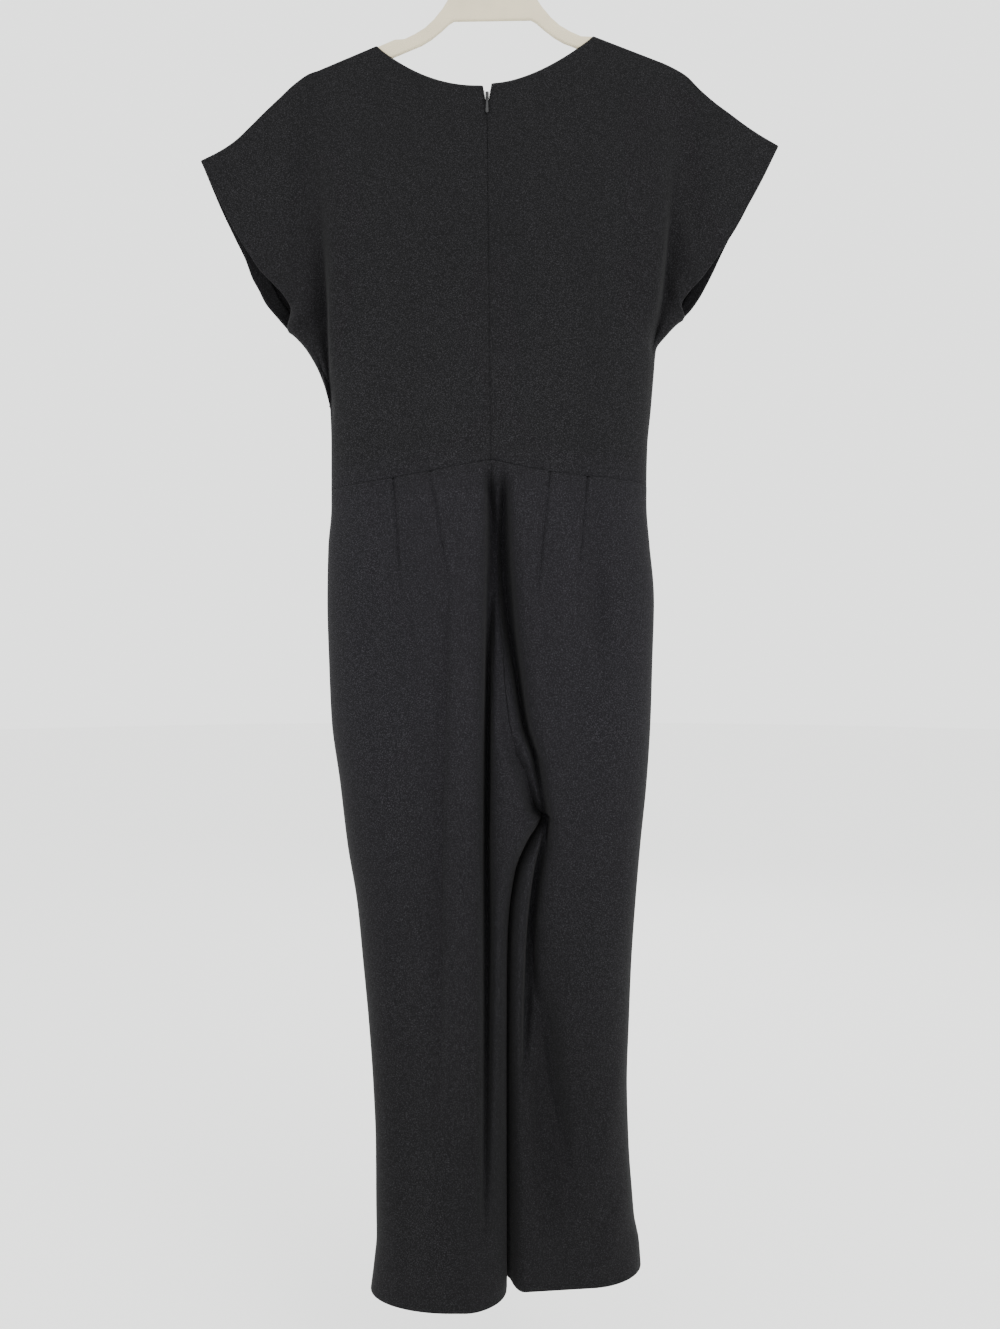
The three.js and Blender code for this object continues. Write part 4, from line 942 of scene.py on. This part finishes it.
class JUMPSUIT_OT_back_bodice(bpy.types.Operator):
    """Add the two back bodice panels, each with its sleeve"""
    bl_idname = "jumpsuit.back_bodice"
    bl_label = "Back bodice"

    def execute(self, context):
        cloth = context.scene.jumpsuit_cloth
        for side in SIDES:
            s = spread((0, 0.02, 4), (0.02, 0.9, 36), (0.9, 1, 10, 1.6), (1, 2, 22), (2, 3, 8),
                       (3, 4, 20), (4, 4.97, 20), (4.97, 5, 2))
            v = spread((0, 0.012, 10, 0.6), (0.012, 0.06, 10), (0.06, 0.995, 150), (0.995, 1, 3))
            s, v = np.meshgrid(s, v)
            x, y, drop = bodice_surface(side, BACK, s, v)
            seam = np.abs(x - zip_line(drop)) - notch_half(drop)
            waist = waist_drop(side, BACK, x) - drop
            y = y + edge_roll(seam) + edge_roll(waist) + neck_roll(side, BACK, x, drop)
            y = y + pucker(x, waist) + pucker(drop, seam)
            x, y, drop = sleeve_hem(x, y, drop, BACK)
            name = f"back_bodice_{side}"
            dress(cloth_sheet(name, x, y, drop, cloth.thickness, SIGN[BACK]), name)
        return {"FINISHED"}


class JUMPSUIT_OT_front_bodice(bpy.types.Operator):
    """Add the front bodice, one panel from sleeve to sleeve"""
    bl_idname = "jumpsuit.front_bodice"
    bl_label = "Front bodice"

    def execute(self, context):
        s = spread((0, 0.9, 26), (0.9, 1, 10, 1.6), (1, 2, 16), (2, 3, 7), (3, 4, 14), (4, 5, 16))
        v = spread((0, 0.012, 10, 0.6), (0.012, 0.06, 8), (0.06, 0.995, 120), (0.995, 1, 3))
        s, v = np.meshgrid(s, v)
        halves = []
        for side in SIDES:
            x, y, drop = bodice_surface(side, FRONT, s, v)
            waist = waist_drop(side, FRONT, x) - drop
            y = y - edge_roll(waist) - neck_roll(side, FRONT, x, drop) - pucker(x, waist)
            halves.append(sleeve_hem(x, y, drop, FRONT))
        whole = [np.hstack([left[:, ::-1], right[:, 1:]]) for left, right in zip(*halves)]
        cloth = context.scene.jumpsuit_cloth
        name = "front_bodice"
        dress(cloth_sheet(name, *whole, cloth.thickness, SIGN[FRONT]), name)
        return {"FINISHED"}


class JUMPSUIT_OT_trousers(bpy.types.Operator):
    """Add the four trouser panels"""
    bl_idname = "jumpsuit.trousers"
    bl_label = "Trousers"

    def execute(self, context):
        cloth = context.scene.jumpsuit_cloth
        for face, fine in ((BACK, 1), (FRONT, 0.6)):
            s = spread((0, 0.2, int(10 * fine), 0.6), (0.2, 0.93, int(20 * fine)),
                       (0.93, 1.07, 4), (1.07, 1.92, int(12 * fine)), (1.92, 2.06, 4),
                       (2.06, 2.6, int(10 * fine)), (2.6, 3, int(18 * fine)),
                       (3, 3.85, int(16 * fine)), (3.85, 4, 4))
            level = np.concatenate([
                np.linspace(WAIST_DROP, WAIST_DROP + 6, 9),
                np.linspace(WAIST_DROP + 8, HEM_DROP, int(cloth.rows * fine))])
            s, level = np.meshgrid(s, level)
            for side in SIDES:
                x, y, drop = leg_surface(side, face, s, level)
                waist = drop - waist_drop(side, face, x)
                inner = np.abs(x - inner_edge(side, face, level)[0])
                above = smooth((CROTCH_DROP - 20 - level) / 20)
                roll = edge_roll(waist) + 0.4 * edge_roll(inner) * above
                y = y - SIGN[face] * (roll + pucker(x, waist) + pucker(drop, inner) * above)
                x, y, drop = turned_in(x, y, drop, SIGN[face], LEG_HEM_DEPTH, HEM_INSET)
                name = f"{face}_leg_{side}"
                dress(cloth_sheet(name, x, y, drop, cloth.thickness, SIGN[face]), name)
        return {"FINISHED"}


def behind_back(side, x, drop, distance):
    """Y of a surface behind the back bodice, at a distance from the middle of its cloth."""
    creases = sum(fold_shift(item, x, drop)[1] for item in BODICE_FOLDS[BACK])
    return distance + creases + SEAM_OVERLAP - bodice_depth(side, BACK, x, drop)


class JUMPSUIT_OT_zip(bpy.types.Operator):
    """Add the zip's tapes and coils, and finish its slider and pull"""
    bl_idname = "jumpsuit.zip"
    bl_label = "Zip"

    def execute(self, context):
        for side in SIDES:
            top = NECKLINE[side, BACK][1] + ZIP_TAPE["below"]
            drop = np.concatenate([
                np.linspace(top, NOTCH_FOOT + 10, 24),
                np.linspace(NOTCH_FOOT + 12, ZIP_TAPE["end"], 140)])
            across, drop = np.meshgrid(np.linspace(0, 1, 6), drop)
            edge = notch_half(drop) - SEAM_GAP / 2
            x = zip_line(drop) + SIGN[side] * (edge + across * ZIP_TAPE["width"])
            y = behind_back(side, x, drop, ZIP_TAPE["behind"])
            thickness = ZIP_TAPE["thickness"] * MM
            tape = cloth_sheet(f"zip_tape_{side}", x, y, drop, thickness, SIGN[BACK])
            woven = shared("Zip tape", tape_material)
            stand_for(tape, f"zip_tape_{side}", woven)
            self.add_coil(side)
        for name in ("zip_slider", "zip_pull"):
            metal = shared("Lacquered zip metal", zip_metal_material)
            set_material(bpy.data.objects[name], metal)
        return {"FINISHED"}

    def add_coil(self, side):
        """One side's coil: a row of loops along the tape's edge, behind it below the slider"""
        start, pitch = ZIP_COIL["start"], ZIP_COIL["pitch"]
        count = int((ZIP_TAPE["end"] - start) / pitch)
        deselect()
        bpy.ops.mesh.primitive_torus_add(
            major_segments=12, minor_segments=5, major_radius=ZIP_COIL["radius"] * MM,
            minor_radius=ZIP_COIL["wire"] / 2 * MM)
        coil = bpy.context.active_object
        coil.name = f"zip_coil_{side}"
        apply_modifier(coil, "ARRAY", "Loops", count=count, use_relative_offset=False,
                       use_constant_offset=True, constant_offset_displace=(0, 0, -pitch * MM))
        points = points_of(coil.data) / MM
        drop = start + (pitch / 2 if side == LEFT else 0) - points[:, 2]
        x = zip_line(drop) + SIGN[side] * (notch_half(drop) + ZIP_COIL["inset"])
        closed = rise(drop, NOTCH_FOOT, ZIP_COIL["closing"])
        behind = lerp(ZIP_COIL["open"], ZIP_COIL["closed"], closed)
        points[:, 0] += x
        points[:, 1] += behind_back(side, x, drop, behind)
        points[:, 2] = -drop
        move_points(coil.data, points * MM)
        bpy.ops.object.shade_smooth()
        set_material(coil, shared("Zip coil", coil_material))
        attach(coil, "garment")


def hanger_outline():
    """Outline of the flat hanger, clockwise from the web's right corner."""
    slant = math.atan(ARM_SLOPE)
    radius = ARM_HEIGHT / 2 / math.hypot(1, ARM_SLOPE) * 0.98
    arm_top = ARM_PEAK - ARM_COVER - ARM_SLOPE * (ARM_REACH - radius)
    centre = (ARM_REACH - radius, arm_top - ARM_HEIGHT / 2)
    tip = [(centre[0] + radius * math.cos(a), centre[1] + radius * math.sin(a))
           for a in math.pi / 2 - slant - np.linspace(0, math.pi, 13)]
    shoulder = (SHOULDER_START, ARM_PEAK - ARM_COVER - ARM_SLOPE * SHOULDER_START)
    half = [*HANGER_TOP, shoulder, *tip, *HANGER_UNDER]
    return [*half, *[(-out, z) for out, z in reversed(half)]]


def hook_route():
    """Points along the middle of the hook's wire, from its foot to its tip."""
    radius = HOOK_RADIUS + HOOK_WIRE / 2
    arc = [(radius * math.cos(a), -HOOK_RADIUS + radius * math.sin(a))
           for a in np.radians(np.linspace(-50, 200, 14))]
    return [(0, STEM_END), (0, -60), (0, -50), (4, -42.5), *arc]


def tilted(x, z):
    """A point of the hanger in metres, turned with the hanger's tilt."""
    cos, sin = math.cos(HANGER_TILT), math.sin(HANGER_TILT)
    return (x * cos - z * sin) * MM, (x * sin + z * cos) * MM


class JUMPSUIT_OT_hanger(bpy.types.Operator):
    """Add the flat hanger and its wire hook"""
    bl_idname = "jumpsuit.hanger"
    bl_label = "Hanger"

    def execute(self, context):
        outline = hanger_outline()
        deselect()
        bpy.ops.mesh.primitive_circle_add(vertices=len(outline), fill_type="NGON")
        plate = context.active_object
        plate.name = "hanger_plate"
        for vertex, (x, z) in zip(plate.data.vertices, outline):
            across, up = tilted(x, z)
            vertex.co = (across, 0, up)
        apply_modifier(plate, "SOLIDIFY", "Thickness", thickness=HANGER_THICKNESS * MM, offset=0)
        apply_modifier(plate, "BEVEL", "Rounded edges", width=HANGER_BEVEL * MM, segments=4,
                       limit_method="ANGLE", angle_limit=math.radians(60))
        bpy.ops.mesh.primitive_cylinder_add(
            vertices=40, radius=BOSS_RADIUS * MM, depth=BOSS_HEIGHT * MM,
            location=(0, 0, (BOSS_TOP - BOSS_HEIGHT / 2) * MM))
        boss = context.active_object
        bpy.ops.object.transform_apply()
        for vertex in boss.data.vertices:
            vertex.co.x, vertex.co.z = tilted(vertex.co.x / MM, vertex.co.z / MM)
        apply_modifier(boss, "BEVEL", "Rounded rim", width=0.8 * MM, segments=3)
        select_only(plate, boss)
        bpy.ops.object.join()
        bpy.ops.object.mode_set(mode="EDIT")
        bpy.ops.mesh.select_all(action="SELECT")
        bpy.ops.mesh.normals_make_consistent(inside=False)
        bpy.ops.object.mode_set(mode="OBJECT")
        bpy.ops.object.shade_smooth_by_angle(angle=math.radians(40))
        stand_for(plate, "hanger", shared("Beige plastic", hanger_material))
        deselect()
        bpy.ops.curve.primitive_bezier_curve_add()
        hook = context.active_object
        hook.name = "hook_wire"
        route = hook_route()
        points = hook.data.splines[0].bezier_points
        points.add(len(route) - len(points))
        for point, (x, z) in zip(points, route):
            across, up = tilted(x, z)
            point.co = (across, 0, up)
            point.handle_left_type = point.handle_right_type = "AUTO"
        hook.data.dimensions = "3D"
        hook.data.bevel_depth = HOOK_WIRE / 2 * MM
        hook.data.bevel_resolution = 6
        hook.data.resolution_u = 8
        hook.data.use_fill_caps = True
        select_only(hook)
        bpy.ops.object.convert(target="MESH")
        end, height = tilted(*route[-1])
        bpy.ops.mesh.primitive_uv_sphere_add(
            segments=32, ring_count=16, radius=HOOK_TIP_RADIUS * MM, location=(end, 0, height))
        ball = context.active_object
        bpy.ops.object.transform_apply()
        select_only(hook, ball)
        bpy.ops.object.join()
        bpy.ops.object.shade_smooth_by_angle(angle=math.radians(50))
        stand_for(hook, "hanger_hook", shared("Plated steel wire", steel_material))
        return {"FINISHED"}


CAMERA = {"x": 10.3, "drop": 847, "sensor": 36, "focal_pixels": 998, "photo_height": 1329}


class JUMPSUIT_OT_stage(bpy.types.Operator):
    """Add the floor, the soft lights and the camera"""
    bl_idname = "jumpsuit.stage"
    bl_label = "Stage"

    def execute(self, context):
        settings = context.scene.jumpsuit_stage
        deselect()
        bpy.ops.mesh.primitive_circle_add(
            vertices=96, radius=14, fill_type="NGON", location=(0, 0, -settings.floor_drop))
        floor = context.active_object
        floor.name = "floor"
        bpy.ops.object.transform_apply()
        pale, _, shader = new_material("Pale floor")
        set_inputs(shader, {"Base Color": (0.93, 0.93, 0.925, 1), "Roughness": 0.9})
        set_material(floor, pale)
        world = bpy.data.worlds.new("Pale studio")
        world.use_nodes = True
        sky = world.node_tree.nodes["Background"]
        set_inputs(sky, {"Color": (0.86, 0.87, 0.86, 1), "Strength": 2.6})
        context.scene.world = world
        lights = (
            ("Key", (1.5, -2, 0.5), 1.4, settings.key_power),
            ("Fill", (-1.8, -1.6, -0.4), 1.8, settings.key_power * 0.3),
            ("Behind", (0.6, 2.4, 0.4), 1.8, settings.key_power * 0.6),
        )
        target = Vector((0, 0, -0.8))
        for name, place, size, power in lights:
            bpy.ops.object.light_add(type="AREA", location=place)
            light = context.active_object
            light.name = name
            light.data.size = size
            light.data.energy = power
            light.rotation_euler = (target - Vector(place)).to_track_quat("-Z", "Y").to_euler()
        place = (CAMERA["x"] * MM, -settings.camera_distance, -CAMERA["drop"] * MM)
        bpy.ops.object.camera_add(location=place, rotation=(math.pi / 2, 0, 0))
        camera = context.active_object
        camera.data.sensor_width = CAMERA["sensor"]
        camera.data.lens = CAMERA["sensor"] * CAMERA["focal_pixels"] / CAMERA["photo_height"]
        camera.data.clip_start = 0.05
        context.scene.camera = camera
        return {"FINISHED"}


OPERATORS = (
    JUMPSUIT_OT_stage, JUMPSUIT_OT_back_bodice, JUMPSUIT_OT_front_bodice, JUMPSUIT_OT_trousers,
    JUMPSUIT_OT_zip, JUMPSUIT_OT_hanger,
)


class JUMPSUIT_PT_panel(bpy.types.Panel):
    """Lists the jumpsuit's pieces"""
    bl_idname = "JUMPSUIT_PT_panel"
    bl_label = "Jumpsuit"
    bl_space_type = "VIEW_3D"
    bl_region_type = "UI"
    bl_category = "Jumpsuit"

    def draw(self, context):
        for operator in OPERATORS:
            self.layout.operator(operator.bl_idname)


GROUPS = {
    "jumpsuit_cloth": JumpsuitCloth,
    "jumpsuit_hardware": JumpsuitHardware,
    "jumpsuit_stage": JumpsuitStage,
}


def register():
    for item in (*GROUPS.values(), *OPERATORS, JUMPSUIT_PT_panel):
        bpy.utils.register_class(item)
    for name, group in GROUPS.items():
        setattr(bpy.types.Scene, name, PointerProperty(type=group))


def unregister():
    for name in GROUPS:
        delattr(bpy.types.Scene, name)
    for item in (JUMPSUIT_PT_panel, *reversed(OPERATORS), *reversed(GROUPS.values())):
        bpy.utils.unregister_class(item)


def main():
    register()
    for operator in OPERATORS:
        group, name = operator.bl_idname.split(".")
        getattr(getattr(bpy.ops, group), name)()


if __name__ == "__main__":
    main()
